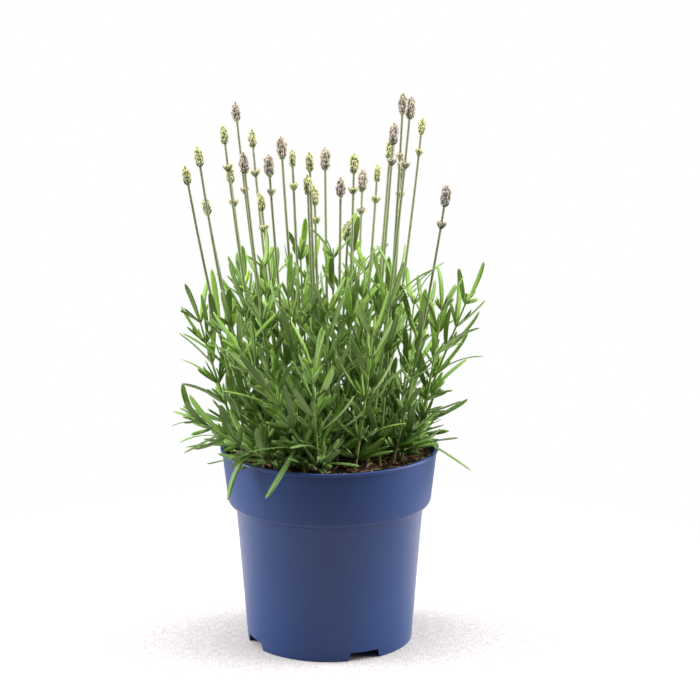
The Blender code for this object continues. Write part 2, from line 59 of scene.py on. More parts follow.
LIP_OVERHANG = 0.0012
LIP_HEIGHT = 0.0024
COLLAR_HEIGHT = 0.0400
COLLAR_FOOT_RADIUS = 0.0700
SHOULDER_ROUND = 0.0045
BODY_TOP_RADIUS = 0.0645
BASE_RADIUS = 0.0570
WALL = 0.0014
FLOOR_LIFT = 0.0070
FLOOR_THICKNESS = 0.0018

# Drain notches in the foot, and drain holes in the floor
NOTCH_COUNT = 4
NOTCH_TURN = math.radians(-65)
NOTCH_WIDTH_TOP = 0.0205
NOTCH_WIDTH_FOOT = 0.0270
NOTCH_HEIGHT = 0.0060
NOTCH_DEPTH_SHARE = 1 / 3
DRAIN_HOLES = 6
DRAIN_HOLE_RADIUS = 0.0050
DRAIN_RING_RADIUS = 0.0360
DRAIN_HOLE_SIDES = 30

# Compost
COMPOST_BELOW_RIM = 0.0060
CLEARANCE = 0.0003

# Stems, and the heads and lone whorls on them. A section's height is a share of the head's
# length below its top, and its width a share of the head's widest
STEM_HALF_SIDE = 0.0010
TIP_HALF_SIDE = 0.0007
HEAD_LENGTH = 0.0130
HEAD_HALF_SIDE = 0.0027
HEAD_SECTIONS = ((0.75, 1.00), (0.30, 0.92), (0.00, 0.35))
WHORL_HALF_SIDE = 0.0021
WHORL_LENGTH = 0.0050
WHORL_WIDEST = 0.3
CORNER_SIGNS = ((1, 1), (-1, 1), (-1, -1), (1, -1))
LENGTH_STEPS = 12

# Leaves: their size, and how their upper side leans back to the stem
LEAF_LENGTH = 0.040
LEAF_HALF_WIDTH = 0.0020
LEAF_HALF_THICKNESS = 0.00045
LEAF_BASE_LENGTH = 0.0020
UPPER_SIDE_LEAN = 0.6

# How a leaf grows. Angles are radians from the stem, first at its foot and then at its tip
FLOWER_LEAF_ANGLES = (0.72, 0.42)
SHOOT_LEAF_ANGLES = (1.05, 0.30)
LEAST_SPREAD = 0.24
ANGLE_RUN = 1.15
ANGLE_CHANCE = 0.14
SWING_CHANCE = 0.20
CURL_INWARD = 0.25
CURL_OUTWARD = 0.40
CURL_DROP = 0.5
FOOT_LEAF_SIZE = 0.80
LEAF_SIZE_GAIN = 0.90
LEAF_SIZE_LOSS = 1.00
SMALLEST_LEAF = 0.86
BIGGEST_LEAF = 1.14
LEAF_TRIES = 9
LEAF_SHRINK = 0.95
LOOSER_EACH_TRY = 0.35
BESIDE_STEM = 0.09
LEAF_LINE_STEPS = 4

# The plant's outline, and the ring that the stems' feet keep within
SEED = 7
REACH_ACROSS = 0.105
REACH_DEEP = 0.088
FEET_MARGIN = 0.012
FEET_APART = 0.0075
FLOWER_DEPTH = 0.066

# Flowering stems: how far to the side the head stands, how high its top is above the rim, and
# how far below the head the lone whorl sits, or 0 where there is none
FLOWERS = (
    (-0.063, 0.236, 0.045),
    (0.049, 0.241, 0.026),
    (0.042, 0.211, 0.000),
    (-0.013, 0.202, 0.009),
    (-0.095, 0.193, 0.000),
    (0.033, 0.193, 0.008),
    (-0.040, 0.201, 0.010),
    (0.064, 0.226, 0.009),
    (-0.071, 0.220, 0.013),
    (0.008, 0.186, 0.000),
    (-0.053, 0.217, 0.014),
    (0.017, 0.202, 0.010),
    (-0.086, 0.206, 0.000),
    (0.044, 0.222, 0.011),
    (-0.024, 0.204, 0.009),
    (-0.069, 0.194, 0.012),
    (0.013, 0.156, 0.000),
    (0.054, 0.239, 0.030),
    (-0.003, 0.205, 0.000),
    (-0.057, 0.202, 0.000),
    (0.023, 0.190, 0.014),
    (-0.010, 0.179, 0.008),
    (-0.082, 0.172, 0.000),
    (0.050, 0.198, 0.010),
    (-0.032, 0.213, 0.000),
    (0.078, 0.181, 0.012),
    (-0.047, 0.174, 0.009),
    (-0.014, 0.187, 0.000),
)

FLOWER_DEPTH_FALL = 0.14
FLOWER_FOOT_ACROSS = 0.55
FLOWER_FOOT_DEEP = 0.60
FLOWER_LEAN = 0.62
FLOWER_PAIRS = 4
FLOWER_FIRST_PAIR = 0.06
FLOWER_LAST_PAIR = 0.44

# Leafy shoots given one by one: the foot, the tip, and the height of the tip above the rim
PLACED_SHOOTS = (
    ((-0.024, -0.046), (-0.090, -0.058), 0.034),
    ((-0.022, -0.034), (-0.036, -0.050), 0.060),
    ((0.000, -0.040), (-0.001, -0.046), 0.108),
    ((0.052, 0.014), (0.094, -0.008), 0.106),
    ((-0.010, -0.052), (-0.060, -0.066), 0.085),
    ((0.048, -0.008), (0.013, -0.036), 0.098),
)
PLACED_LEAN = 0.50

# Leafy shoots that fill the bush: each turns by the golden angle and stands further out
GROWN_SHOOTS = 18
GROWN_START = 0.6
GROWN_FOOT_OUT = 0.056
GROWN_TIP_ACROSS = 0.090
GROWN_TIP_DEEP = 0.082
GROWN_RISE = 0.150
GROWN_RISE_FALL = 0.075
GROWN_RISE_CHANCE = 0.015
GROWN_LEAN = 0.62
LEAFY_PAIRS = 7
LEAFY_FIRST_PAIR = 0.07
LEAFY_LAST_PAIR = 0.955
GOLDEN_TURN = math.radians(137.5)
GOLDEN_SHARE = 0.618034

# Low shoots by the rim: the way each faces, how far below the rim the tip of its draped leaf
# hangs, and how far round the rim that leaf swings
LOW_SHOOTS = (
    (-137, 0.021, -4),
    (-112, 0.012, -16),
    (-18, 0.010, 10),
    (48, 0.016, -8),
    (108, 0.020, 12),
    (172, 0.008, 14),
)
LOW_SHOOT_HEIGHT = 0.022
LOW_FOOT_OUT = 0.050
LOW_TIP_OUT = 0.058
LOW_LEAN = 0.30
LOW_PAIRS = 3
LOW_FIRST_PAIR = 0.25
LOW_LAST_PAIR = 0.92
DRAPE_OUT = 0.0060
DRAPE_RISE = 0.0030
DRAPE_REACH = 1.6
DRAPE_LEVEL_REACH = 0.8

# Room between stems
STEM_TRIES = 120
STEM_ROOM = 0.0006
FOOT_WANDER = 0.0020
WIDER_EACH_TRY = 0.0012
MERGE_DISTANCE = 0.00001

COMPOST_TOP = POT_HEIGHT - COMPOST_BELOW_RIM
FLOOR_TOP = FLOOR_LIFT + FLOOR_THICKNESS
COLLAR_FOOT = POT_HEIGHT - COLLAR_HEIGHT
STEM_FOOT = COMPOST_TOP + CLEARANCE

# The visible leaf blade
BLADE_COLUMNS = 4
BLADE_ROWS = 9
YOUNG_COLUMNS = 2
YOUNG_ROWS = 5
BLADE_THICKNESS = 0.00040
BLADE_GROOVE = 0.16
BLADE_ROLL = 0.22
TWIST = 0.45
LOW_TWIST = 0.15
LOW_LEAF_WIDER = 1.22
LEAF_TONES = 8
LEAF_SUNK = 0.7
LEAF_WIDTHS = (0.92, 1.12)

# A blade's outline, as shares of its length and of its width
BLADE_FOOT_WIDTH = 0.42
BLADE_FOOT_LENGTH = 0.42
BLADE_FOOT_FILL = 0.8
BLADE_TIP_START = 0.68
BLADE_TIP_LENGTH = 0.325
BLADE_TIP_BLUNTNESS = 2.2
BLADE_LEAST_WIDTH = 0.16
BLADE_EDGE_THICKNESS = 0.6
ROW_CROWDING = 1.35

# Leaf tones, from 0 at the darkest: how they rise with height in the bush, which paints the shade low
# in the bush, and by chance
PAINTED_SHADE_LOW_TONE = 1.2
PAINTED_SHADE_TONE_RISE = 4.2
TONE_CHANCE = 1.3
FLOWER_LEAF_DARKER = 0.4
TONE_HEIGHT = 0.17
BRACT_TONE = 3

# Margins round each strip of the maps of leaves, stems and buds
MAP_SIDE_MARGIN = 0.04
MAP_END_MARGIN = 0.02

# Young leaves in the leaf joints. Low on a stem they lean out further and are larger
YOUNG_SEED = 23
YOUNG_LENGTH = 0.015
YOUNG_HALF_WIDTH = 0.0012
YOUNG_LOW_RISE = 0.040
YOUNG_LEANS = (0.15, 0.75)
YOUNG_LOW_LEAN = 0.45
YOUNG_SWING = 0.65
YOUNG_CURLS = (-0.25, 0.35)
YOUNG_LENGTHS = (0.45, 1.25)
YOUNG_LOW_LONGER = 0.6
YOUNG_WIDTHS = (0.8, 1.25)
YOUNG_LOW_WIDER = 0.2
YOUNG_TWIST = 0.3
YOUNG_SUNK = 0.5
YOUNG_TONE_HEIGHT = 0.15
YOUNG_TONE_LIFT = 0.30
YOUNG_TONE_MOST = 1.1
ALMOST_ALONG = 0.05

# Young leaves in each joint, from the foot up. The last count holds for all joints above it
YOUNG_ON_FLOWER_STEM = (9, 6, 3)
YOUNG_ON_SHOOT = (9, 5, 5, 5, 3)

# Heads
HEAD_SEED = 41
HEAD_WHORLS = 5
BUDS_PER_WHORL = 7
BUD_LENGTH = 0.0062
BUD_RADIUS = 0.00166
HEAD_CORE_RADIUS = 0.0021
HEAD_FOOT_SIZE = 0.80
HEAD_TOP_SIZE = 0.72
HEAD_FULLEST = 0.4
HEAD_DRAWN_IN = 1.5
RIPE_HEAD_SIZES = (0.90, 1.12)
YOUNG_HEAD_SIZES = (0.70, 0.95)
RIPE_TONE = 6
YOUNG_HEAD_TONES = (1, 2, 2, 3)
HEAD_CORE_LENGTH = 0.85
WHORLS_REACH = 0.68
BUDS_OUT = 0.0009
BUD_LEAN = 0.44
BUD_LEAN_LOSS = 0.26
FEWER_BUDS_FROM = 0.75
TOP_TONE_FROM = 0.7
TOP_BUD_BELOW_TIP = 0.16
TOP_BUD_LENGTH = 0.6
TOP_BUD_RADIUS = 0.7

# Chance in a whorl: round it, in a bud's tilt, up or down, and in a bud's size
BUD_TURN_CHANCE = 0.2
BUD_TILT_CHANCE = 0.12
BUD_HEIGHT_CHANCE = 0.0004
BUD_SIZES = (0.86, 1.12)

# The lone whorl below a head
LONE_BUDS = 6
LONE_LEAN = 0.42
LONE_BUD_LENGTH = 0.78
LONE_BUD_RADIUS = 0.85
LONE_BUDS_OUT = 0.0006
LONE_WHORL_FOOT = 0.7

# Scale leaves under the whorls, as lean, length and half width, and how far below they sit
BRACT_OUT = 0.0004
BRACT_TIP_UP = 0.8
BRACT_TIP_OUT = 0.5
HEAD_BRACT = (0.75, 0.0042, 0.0012)
HEAD_BRACT_BELOW = 0.0010
LONE_BRACT = (0.60, 0.0058, 0.0017)
LONE_BRACT_BELOW = 0.0008
RIPE_HEADS = (1, 2, 7, 10, 14, 17, 18, 19, 20, 21, 24, 25, 26)

# Stems
STEM_STEPS = 26
STEM_BURIED = 0.004
STEM_ROUND = 0.55
STEM_SIDES = 8
FLOWER_TIP_SIZE = 1.08
SHOOT_TIP_SIZE = 0.75
STEM_TAPER = 0.8
JOINT_SWELL = 0.16
JOINT_LENGTH = 0.0016
STEM_INTO_HEAD = 0.15

# Compost surface
COMPOST_RINGS = 58
COMPOST_SIDES = 168
COMPOST_SUNK = 0.0004
COMPOST_SLICE = 0.31
COMPOST_LUMPS = ((55, 0.0016), (210, 0.0010), (480, 0.0006))
COMPOST_EDGE = 0.060
COMPOST_EDGE_FALL = 0.10
CRUMB_ROUGHNESS = (0.72, 1.18)
CRUMB_SHARP_ANGLE = math.radians(20)
CRUMB_SEED = 5
TOWARDS_RIM = 0.42

# Bark chips, fibres and perlite. Widths, heights and rises are shares of a piece's length
BARK_CHIPS = 900
BARK_LENGTHS = (0.0008, 0.0030)
BARK_WIDTHS = (0.35, 0.70)
BARK_HEIGHTS = (0.25, 0.60)
BARK_RISE = 0.4
BARK_TILT = 0.5
FIBRES = 180
FIBRE_MARGIN = 0.012
FIBRE_RISE = 0.0010
FIBRE_TILTS = (-0.08, 0.16)
FIBRE_BEND = 0.5
FIBRE_LENGTHS = (0.005, 0.014)
FIBRE_HALF_WIDTHS = (0.00013, 0.00028)
FIBRE_STEPS = 4
PERLITE = 80
PERLITE_LENGTHS = (0.0006, 0.0014)
PERLITE_WIDTH = 0.9
PERLITE_HEIGHT = 0.8
PERLITE_RISE = 0.6
BARK_PLACE, FIBRE_PLACE, PERLITE_PLACE = range(3)

# Pot surface
TURNED_SIDES = 160
EDGE_ROUND = 0.0004
FOOT_ROUND = EDGE_ROUND * 1.5
LIP_ROUND = EDGE_ROUND * 1.6
EDGE_STEPS = 4
SHOULDER_STEPS = 10
COLLAR_EDGE_DROP = 0.0004
COLLAR_EDGE_OUT = 0.0003
POT_SHARP_ANGLE = math.radians(38)

# Tones held by the maps of stems and buds, and the stems' greens from foot to tip
STEM_TONES = 4
BUD_TONES = 8
FLOWER_STEM_STOPS = (
    (0.00, (0.260, 0.330, 0.090)),
    (0.30, (0.165, 0.250, 0.055)),
    (0.60, (0.195, 0.245, 0.105)),
    (0.85, (0.230, 0.240, 0.155)),
    (1.00, (0.215, 0.195, 0.160)),
)
SHOOT_STEM_STOPS = (
    (0.00, (0.290, 0.340, 0.100)),
    (0.50, (0.180, 0.290, 0.055)),
    (1.00, (0.210, 0.330, 0.060)),
)

# Studio
FLOOR_SIZE = 0.45
FLOOR_SIDES = 64
FLOOR_FADE = (0.19, 0.40)
SIDE_POWER = 42
SIDE_PLACE = (1.25, 0.10, 0.55)
SIDE_TARGET = (0, 0, 0.15)
SIDE_SIZE = (1.0, 1.5)
OVERHEAD_POWER = 55
OVERHEAD_PLACE = (0, -0.10, 1.8)
OVERHEAD_TARGET = (0, 0, 0.2)
OVERHEAD_SIZE = (1.5, 1.3)
SURROUND_IN_FRONT = 0.03
SURROUND_BEHIND = 0.50
SURROUND_TURN = (-0.8, 0.2)

# Camera
LENS = 133.08
SENSOR_WIDTH = 36
NEAREST_SEEN = 0.05
FURTHEST_SEEN = 30
CAMERA_PLACE = (0.0141, -1.7187, POT_HEIGHT + 0.4625)
CAMERA_LOOKS_DOWN = math.radians(12.954)


class Leaf:
    """One leaf: where it sits on its stem, and the three points that its middle runs through."""

    def __init__(self, share, outward, root, middle, tip):
        self.share = share
        self.outward = outward
        self.root = root
        self.middle = middle
        self.tip = tip

    def directions(self):
        """The leaf's own length, width and upper side."""
        along = (self.tip - self.root).normalized()
        up = Vector((0, 0, 1)) - self.outward * UPPER_SIDE_LEAN
        rise = (up - along * along.dot(up)).normalized()
        return along, rise.cross(along), rise


class Shoot:
    """One stem that stands on the compost, with its leaves and, on some, a head of buds."""

    def __init__(self, name, foot, bow, tip, turn):
        self.name = name
        self.foot = foot
        self.bow = bow
        self.tip = tip
        self.facing = Vector((math.cos(turn), math.sin(turn), 0))
        self.head = False
        self.whorl = 0.0
        self.pairs = []
        self.leaves = []

    def point(self, share):
        rest = 1 - share
        return self.foot * rest**2 + self.bow * (2 * rest * share) + self.tip * share**2

    def length(self):
        steps = [self.point(step / LENGTH_STEPS) for step in range(LENGTH_STEPS + 1)]
        return sum((after - before).length for before, after in zip(steps, steps[1:]))

    def frame(self, share):
        """The point at a share of the stem, its direction, and where two of its sides face."""
        slope = (self.bow - self.foot) * (1 - share) + (self.tip - self.bow) * share
        along = slope.normalized()
        side = (self.facing - along * along.dot(self.facing)).normalized()
        return self.point(share), along, side, along.cross(side)

    def sides(self, share):
        _, _, side, other = self.frame(share)
        return side, other, -side, -other

    def corners(self, share, half):
        """The corners of a square cross section, in turn. The foot is cut level."""
        point, along, side, other = self.frame(share)
        corners = [point + side * (half * a) + other * (half * b) for a, b in CORNER_SIGNS]
        if share > 0:
            return corners
        return [corner + along * ((self.foot.z - corner.z) / along.z) for corner in corners]

    def levels(self):
        """The cross sections from foot to tip: the share of the length, half the side, and
        the share of the leaf pair whose band ends there, or None."""
        unit = 1 / self.length()
        half_base = LEAF_BASE_LENGTH / 2 * unit
        rows = [(0.0, STEM_HALF_SIDE, None)]
        for pair in self.pairs:
            rows.append((pair - half_base, STEM_HALF_SIDE, None))
            rows.append((pair + half_base, STEM_HALF_SIDE, pair))
        if self.head:
            rows += self.head_levels(unit)
        else:
            rows.append((1.0, TIP_HALF_SIDE, None))
        return rows

    def head_levels(self, unit):
        """The cross sections of the head, and of the lone whorl below it if there is one."""
        head = HEAD_LENGTH * unit
        rows = []
        if self.whorl:
            cup = WHORL_LENGTH * unit
            top = 1 - head - self.whorl * unit
            rows.append((top - cup, TIP_HALF_SIDE, None))
            rows.append((top - cup * WHORL_WIDEST, WHORL_HALF_SIDE, None))
            rows.append((top, TIP_HALF_SIDE, None))
        rows.append((1 - head, TIP_HALF_SIDE, None))
        for below, width in HEAD_SECTIONS:
            rows.append((1 - head * below, HEAD_HALF_SIDE * width, None))
        return rows


class Space:
    """The room that stems and leaves already fill."""

    def __init__(self):
        self.rows = []

    def add(self, owner, points, faces):
        low = [min(point[axis] for point in points) for axis in range(3)]
        high = [max(point[axis] for point in points) for axis in range(3)]
        self.rows.append((owner, low, high, BVHTree.FromPolygons(points, faces)))

    def is_free(self, points, faces, leaving_out=None):
        low = [min(point[axis] for point in points) for axis in range(3)]
        high = [max(point[axis] for point in points) for axis in range(3)]
        tree = None
        for owner, other_low, other_high, other in self.rows:
            if owner == leaving_out:
                continue
            if any(low[axis] > other_high[axis] or high[axis] < other_low[axis] for axis in range(3)):
                continue
            tree = tree or BVHTree.FromPolygons(points, faces)
            if tree.overlap(other):
                return False
        return True


def tube_faces(rings):
    """The faces of a square tube with this many cross sections, its ends closed."""
    faces = [(3, 2, 1, 0), tuple(4 * rings - 4 + corner for corner in range(4))]
    for ring in range(rings - 1):
        for corner in range(4):
            after = (corner + 1) % 4
            low, high = 4 * ring, 4 * ring + 4
            faces.append((low + corner, low + after, high + after, high + corner))
    return faces


def stem_room(shoot):
    """The room that a stem needs, with a clearance all round it."""
    rows = shoot.levels()
    points = []
    for share, half, _ in rows:
        points += shoot.corners(share, half + STEM_ROOM)
    return points, tube_faces(len(rows))


def leaf_room(leaf):
    """The room that a leaf needs, from just clear of its own stem to its tip."""
    _, across, rise = leaf.directions()
    beside = leaf.root.lerp(leaf.middle, BESIDE_STEM)
    sections = (
        (beside, STEM_HALF_SIDE, LEAF_BASE_LENGTH / 2),
        (leaf.middle, LEAF_HALF_WIDTH, LEAF_HALF_THICKNESS),
        (leaf.tip, 0, 0),
    )
    points = []
    for place, half_width, half_thick in sections:
        aside = across * (half_width + CLEARANCE)
        above = rise * (half_thick + CLEARANCE)
        points += [place + aside * a + above * b for a, b in CORNER_SIGNS]
    return points, tube_faces(len(sections))


def is_clear_of_pot(point):
    """Whether a leaf's middle line may pass here: over the compost, over the rim or outside it."""
    out = math.hypot(point.x, point.y)
    if abs(point.x) > REACH_ACROSS or abs(point.y) > REACH_DEEP:
        return False
    if out < RIM_RADIUS - WALL - LEAF_HALF_WIDTH:
        return point.z > COMPOST_TOP + LEAF_HALF_WIDTH
    if out < RIM_RADIUS + LEAF_HALF_WIDTH + CLEARANCE:
        return point.z > POT_HEIGHT + LEAF_HALF_THICKNESS + CLEARANCE * 2
    return point.z > 0


def leaf_fits(leaf, owner, space):
    shares = [step / LEAF_LINE_STEPS for step in range(1, LEAF_LINE_STEPS + 1)]
    line = [leaf.root.lerp(leaf.middle, share) for share in shares]
    line += [leaf.middle.lerp(leaf.tip, share) for share in shares]
    if not all(is_clear_of_pot(point) for point in line):
        return False
    points, faces = leaf_room(leaf)
    return space.is_free(points, faces, leaving_out=owner)


def leaf_way(shoot, share, outward, chance, spread, attempt):
    """One try at a leaf: low leaves stand out from the stem, and high ones stay close to it."""
    point, along, _, _ = shoot.frame(share)
    sideways = along.cross(outward)
    loose = 1 + attempt * LOOSER_EACH_TRY
    angle = max(LEAST_SPREAD, spread + chance.uniform(-ANGLE_CHANCE, ANGLE_CHANCE) * loose)
    swing = chance.uniform(-SWING_CHANCE, SWING_CHANCE) * loose
    curl = chance.uniform(-CURL_INWARD, CURL_OUTWARD)
    size = chance.uniform(SMALLEST_LEAF, BIGGEST_LEAF) * LEAF_SHRINK**attempt
    if not shoot.head:
        size *= FOOT_LEAF_SIZE + LEAF_SIZE_GAIN * share - LEAF_SIZE_LOSS * share**2
    length = LEAF_LENGTH * size
    start = along * math.cos(angle) + outward * math.sin(angle) + sideways * swing
    start.normalize()
    finish = (start + outward * curl - along * (curl * CURL_DROP)).normalized()
    root = point + outward * STEM_HALF_SIDE
    middle = root + start * (length / 2)
    return Leaf(share, outward, root, middle, middle + finish * (length / 2))


def grow_leaf(shoot, share, outward, chance, space):
    """Adds the first try that meets nothing. A leaf that finds no room is left out."""
    low, high = FLOWER_LEAF_ANGLES if shoot.head else SHOOT_LEAF_ANGLES
    spread = low + (high - low) * min(1, share * ANGLE_RUN)
    for attempt in range(LEAF_TRIES):
        leaf = leaf_way(shoot, share, outward, chance, spread, attempt)
        if leaf_fits(leaf, shoot.name, space):
            shoot.leaves.append(leaf)
            space.add(shoot.name + " leaf", *leaf_room(leaf))
            return


def drape_leaf(shoot, drop, swing, space):
    """Hangs one leaf of a low shoot over the rim. The less it drops, the further it reaches."""
    share = shoot.pairs[-1]
    out = Vector((shoot.tip.x, shoot.tip.y, 0)).normalized()
    outward = max(shoot.sides(share), key=out.dot)
    root = shoot.point(share) + outward * STEM_HALF_SIDE
    middle = out * (RIM_RADIUS + DRAPE_OUT)
    middle.z = POT_HEIGHT + DRAPE_RISE
    reach = DRAPE_OUT * DRAPE_REACH + (LOW_SHOOT_HEIGHT - drop) * DRAPE_LEVEL_REACH
    way = Vector((math.cos(swing), math.sin(swing), 0))
    way.rotate(out.to_track_quat("X", "Z"))
    tip = middle + way * reach
    tip.z = POT_HEIGHT - drop
    leaf = Leaf(share, outward, root, middle, tip)
    shoot.leaves.append(leaf)
    space.add(shoot.name + " leaf", *leaf_room(leaf))


def stem_stands(shoot, feet, space):
    if any((shoot.foot - foot).length < FEET_APART for foot in feet):
        return False
    points, faces = stem_room(shoot)
    return space.is_free(points, faces)


def set_stem(make, feet, space):
    """Moves a stem's foot about until the stem crosses no other, then keeps it."""
    for attempt in range(STEM_TRIES):
        shoot = make(attempt)
        if stem_stands(shoot, feet, space):
            break
    feet.append(shoot.foot)
    space.add(shoot.name, *stem_room(shoot))
    return shoot


def foot_near(across, deep, chance, attempt):
    """A foot on the compost close to a place, kept inside the rim."""
    wander = FOOT_WANDER + WIDER_EACH_TRY * attempt
    across += chance.uniform(-wander, wander)
    deep += chance.uniform(-wander, wander)
    most = RIM_RADIUS - WALL - FEET_MARGIN
    out = math.hypot(across, deep)
    if out > most:
        across *= most / out
        deep *= most / out
    return Vector((across, deep, STEM_FOOT))


def stem_bow(foot, tip, lean):
    """The middle control point of a stem: it leans out low down, and then turns upwards."""
    return Vector(
        (
            foot.x + (tip.x - foot.x) * lean,
            foot.y + (tip.y - foot.y) * lean,
            foot.z + (tip.z - foot.z) * 0.5,
        )
    )


def evenly(count, first, last):
    return [first + (last - first) * step / (count - 1) for step in range(count)]


def flower_depth(number, across):
    """How far back a head stands: a share of the depth that the outline leaves at its side."""
    share = ((number + 1) * GOLDEN_SHARE) % 1 * 2 - 1
    return share * FLOWER_DEPTH * math.sqrt(1 - (across / REACH_ACROSS) ** 2)


def flowering_stem(number, row, chance):
    across, height, whorl = row
    deep = flower_depth(number, across)
    tip = Vector((across, deep, POT_HEIGHT + height - deep * FLOWER_DEPTH_FALL))

    def make(attempt):
        foot = foot_near(across * FLOWER_FOOT_ACROSS, deep * FLOWER_FOOT_DEEP, chance, attempt)
        bow = stem_bow(foot, tip, FLOWER_LEAN)
        shoot = Shoot(f"flower_stem_{number + 1:02d}", foot, bow, tip, chance.uniform(0, math.pi))
        shoot.head = True
        shoot.whorl = whorl
        shoot.pairs = evenly(FLOWER_PAIRS, FLOWER_FIRST_PAIR, FLOWER_LAST_PAIR)
        return shoot

    return make


def placed_shoot(number, row, chance):
    start, end, height = row
    tip = Vector((end[0], end[1], POT_HEIGHT + height))

    def make(attempt):
        foot = foot_near(start[0], start[1], chance, attempt)
        bow = stem_bow(foot, tip, PLACED_LEAN)
        return leafy_shoot(number, foot, bow, tip, chance)

    return make


def grown_shoot(number, chance):
    place = number - len(PLACED_SHOOTS)
    turn = place * GOLDEN_TURN
    out = math.sqrt((place + GROWN_START) / GROWN_SHOOTS)
    across = math.cos(turn) * out
    deep = math.sin(turn) * out
    rise = GROWN_RISE - GROWN_RISE_FALL * out**2
    rise += chance.uniform(-GROWN_RISE_CHANCE, GROWN_RISE_CHANCE)
    tip = Vector((across * GROWN_TIP_ACROSS, deep * GROWN_TIP_DEEP, POT_HEIGHT + rise))

    def make(attempt):
        foot = foot_near(across * GROWN_FOOT_OUT, deep * GROWN_FOOT_OUT, chance, attempt)
        bow = stem_bow(foot, tip, GROWN_LEAN)
        return leafy_shoot(number, foot, bow, tip, chance)

    return make


def leafy_shoot(number, foot, bow, tip, chance):
    shoot = Shoot(f"leafy_shoot_{number + 1:02d}", foot, bow, tip, chance.uniform(0, math.pi))
    shoot.pairs = evenly(LEAFY_PAIRS, LEAFY_FIRST_PAIR, LEAFY_LAST_PAIR)
    return shoot


def low_shoot(number, turn, chance):
    out = Vector((math.cos(turn), math.sin(turn), 0))
    tip = out * LOW_TIP_OUT + Vector((0, 0, COMPOST_TOP + LOW_SHOOT_HEIGHT))

    def make(attempt):
        foot = foot_near(out.x * LOW_FOOT_OUT, out.y * LOW_FOOT_OUT, chance, attempt)
        bow = stem_bow(foot, tip, LOW_LEAN)
        shoot = Shoot(f"low_shoot_{number + 1}", foot, bow, tip, turn)
        shoot.pairs = evenly(LOW_PAIRS, LOW_FIRST_PAIR, LOW_LAST_PAIR)
        return shoot

    return make


def grow_plant():
    """Sets every stem, then fills the stems with leaves, pair by pair from the foot up."""
    chance = random.Random(SEED)
    makers = []
    for number, (turn, _, _) in enumerate(LOW_SHOOTS):
        makers.append(low_shoot(number, math.radians(turn), chance))
    for number, row in enumerate(PLACED_SHOOTS):
        makers.append(placed_shoot(number, row, chance))
    for number, row in enumerate(FLOWERS):
        makers.append(flowering_stem(number, row, chance))
    for number in range(len(PLACED_SHOOTS), len(PLACED_SHOOTS) + GROWN_SHOOTS):
        makers.append(grown_shoot(number, chance))
    space = Space()
    feet = []
    shoots = []
    for number, make in enumerate(makers):
        shoot = set_stem(make, feet, space)
        if number < len(LOW_SHOOTS):
            _, drop, swing = LOW_SHOOTS[number]
            drape_leaf(shoot, drop, math.radians(swing), space)
        shoots.append(shoot)
    for level in range(LEAFY_PAIRS):
        for shoot in shoots:
            if level < len(shoot.pairs):
                grow_pair(shoot, level, chance, space)
    return shoots


def grow_pair(shoot, level, chance, space):
    share = shoot.pairs[level]
    outward = shoot.sides(share)
    for side in (level % 2, level % 2 + 2):
        if all(leaf.share != share or leaf.outward != outward[side] for leaf in shoot.leaves):
            grow_leaf(shoot, share, outward[side], chance, space)


# ---- Placing meshes -----------------------------------------------------------------------


def keep(name, bm, materials, nodes):
    """Makes a finished piece that rides on the one body and stands for its solids."""
    mesh = bpy.data.meshes.new(name)
    bm.to_mesh(mesh)
    bm.free()
    for material in materials:
        mesh.materials.append(material)
    mesh.shade_smooth()
    piece = bpy.data.objects.new(name, mesh)
    bpy.context.scene.collection.objects.link(piece)
    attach(piece, "root")
    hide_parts(*nodes)
    return piece


# ---- Leaf blades --------------------------------------------------------------------------


def inset(share, margin):
    """A share from 0 to 1, drawn in by a margin at both ends."""
    return margin + share * (1 - 2 * margin)


def blade_width(along):
    """A leaf's width along its length: a narrow foot, nearly parallel sides and a blunt tip."""
    open_share = min(1.0, along / BLADE_FOOT_LENGTH) ** BLADE_FOOT_FILL
    foot = BLADE_FOOT_WIDTH + (1 - BLADE_FOOT_WIDTH) * open_share
    into_tip = max(0.0, (along - BLADE_TIP_START) / BLADE_TIP_LENGTH)
    tip = math.sqrt(max(0.0, 1 - into_tip**BLADE_TIP_BLUNTNESS))
    return max(foot * tip, BLADE_LEAST_WIDTH)


def row_share(along):
    """Where a unit leaf's row lies on the leaf: the rows crowd together towards the tip."""
    return 1 - (1 - along) ** ROW_CROWDING


def make_blade(columns, rows, tone):
    """A flat unit leaf: across from -1 to 1, along from 0 to 1, and two layers deep."""
    bm = bmesh.new()
    bmesh.ops.create_grid(bm, x_segments=columns, y_segments=rows, size=1)
    for vert in bm.verts:
        vert.co.y = (vert.co.y + 1) / 2
    bmesh.ops.solidify(bm, geom=bm.faces[:] + bm.edges[:] + bm.verts[:], thickness=1)
    bmesh.ops.recalc_face_normals(bm, faces=bm.faces)
    low = min(vert.co.z for vert in bm.verts)
    for vert in bm.verts:
        vert.co.z -= low
    layer = bm.loops.layers.uv.new("OFBake")
    for face in bm.faces:
        under = face.normal.z < -0.5
        for loop in face.loops:
            across = inset((loop.vert.co.x + 1) / 2, MAP_SIDE_MARGIN)
            along = inset(loop.vert.co.y, MAP_END_MARGIN)
            loop[layer].uv = ((tone + across) / LEAF_TONES, (along + under) / 2)
    mesh = bpy.data.meshes.new("unit blade")
    bm.to_mesh(mesh)
    bm.free()
    return mesh


def blade_frames(root, middle, tip, across, twist, rows):
    """The place and the three directions of a leaf at each of its rows."""
    bend = middle * 2 - (root + tip) / 2
    frames = []
    for row in range(rows + 1):
        share = row_share(row / rows)
        rest = 1 - share
        place = root * rest**2 + bend * (2 * rest * share) + tip * share**2
        along = ((bend - root) * rest + (tip - bend) * share).normalized()
        side = (across - along * along.dot(across)).normalized()
        side.rotate(Matrix.Rotation(twist * share, 3, along))
        frames.append((place, side, side.cross(along)))
    return frames


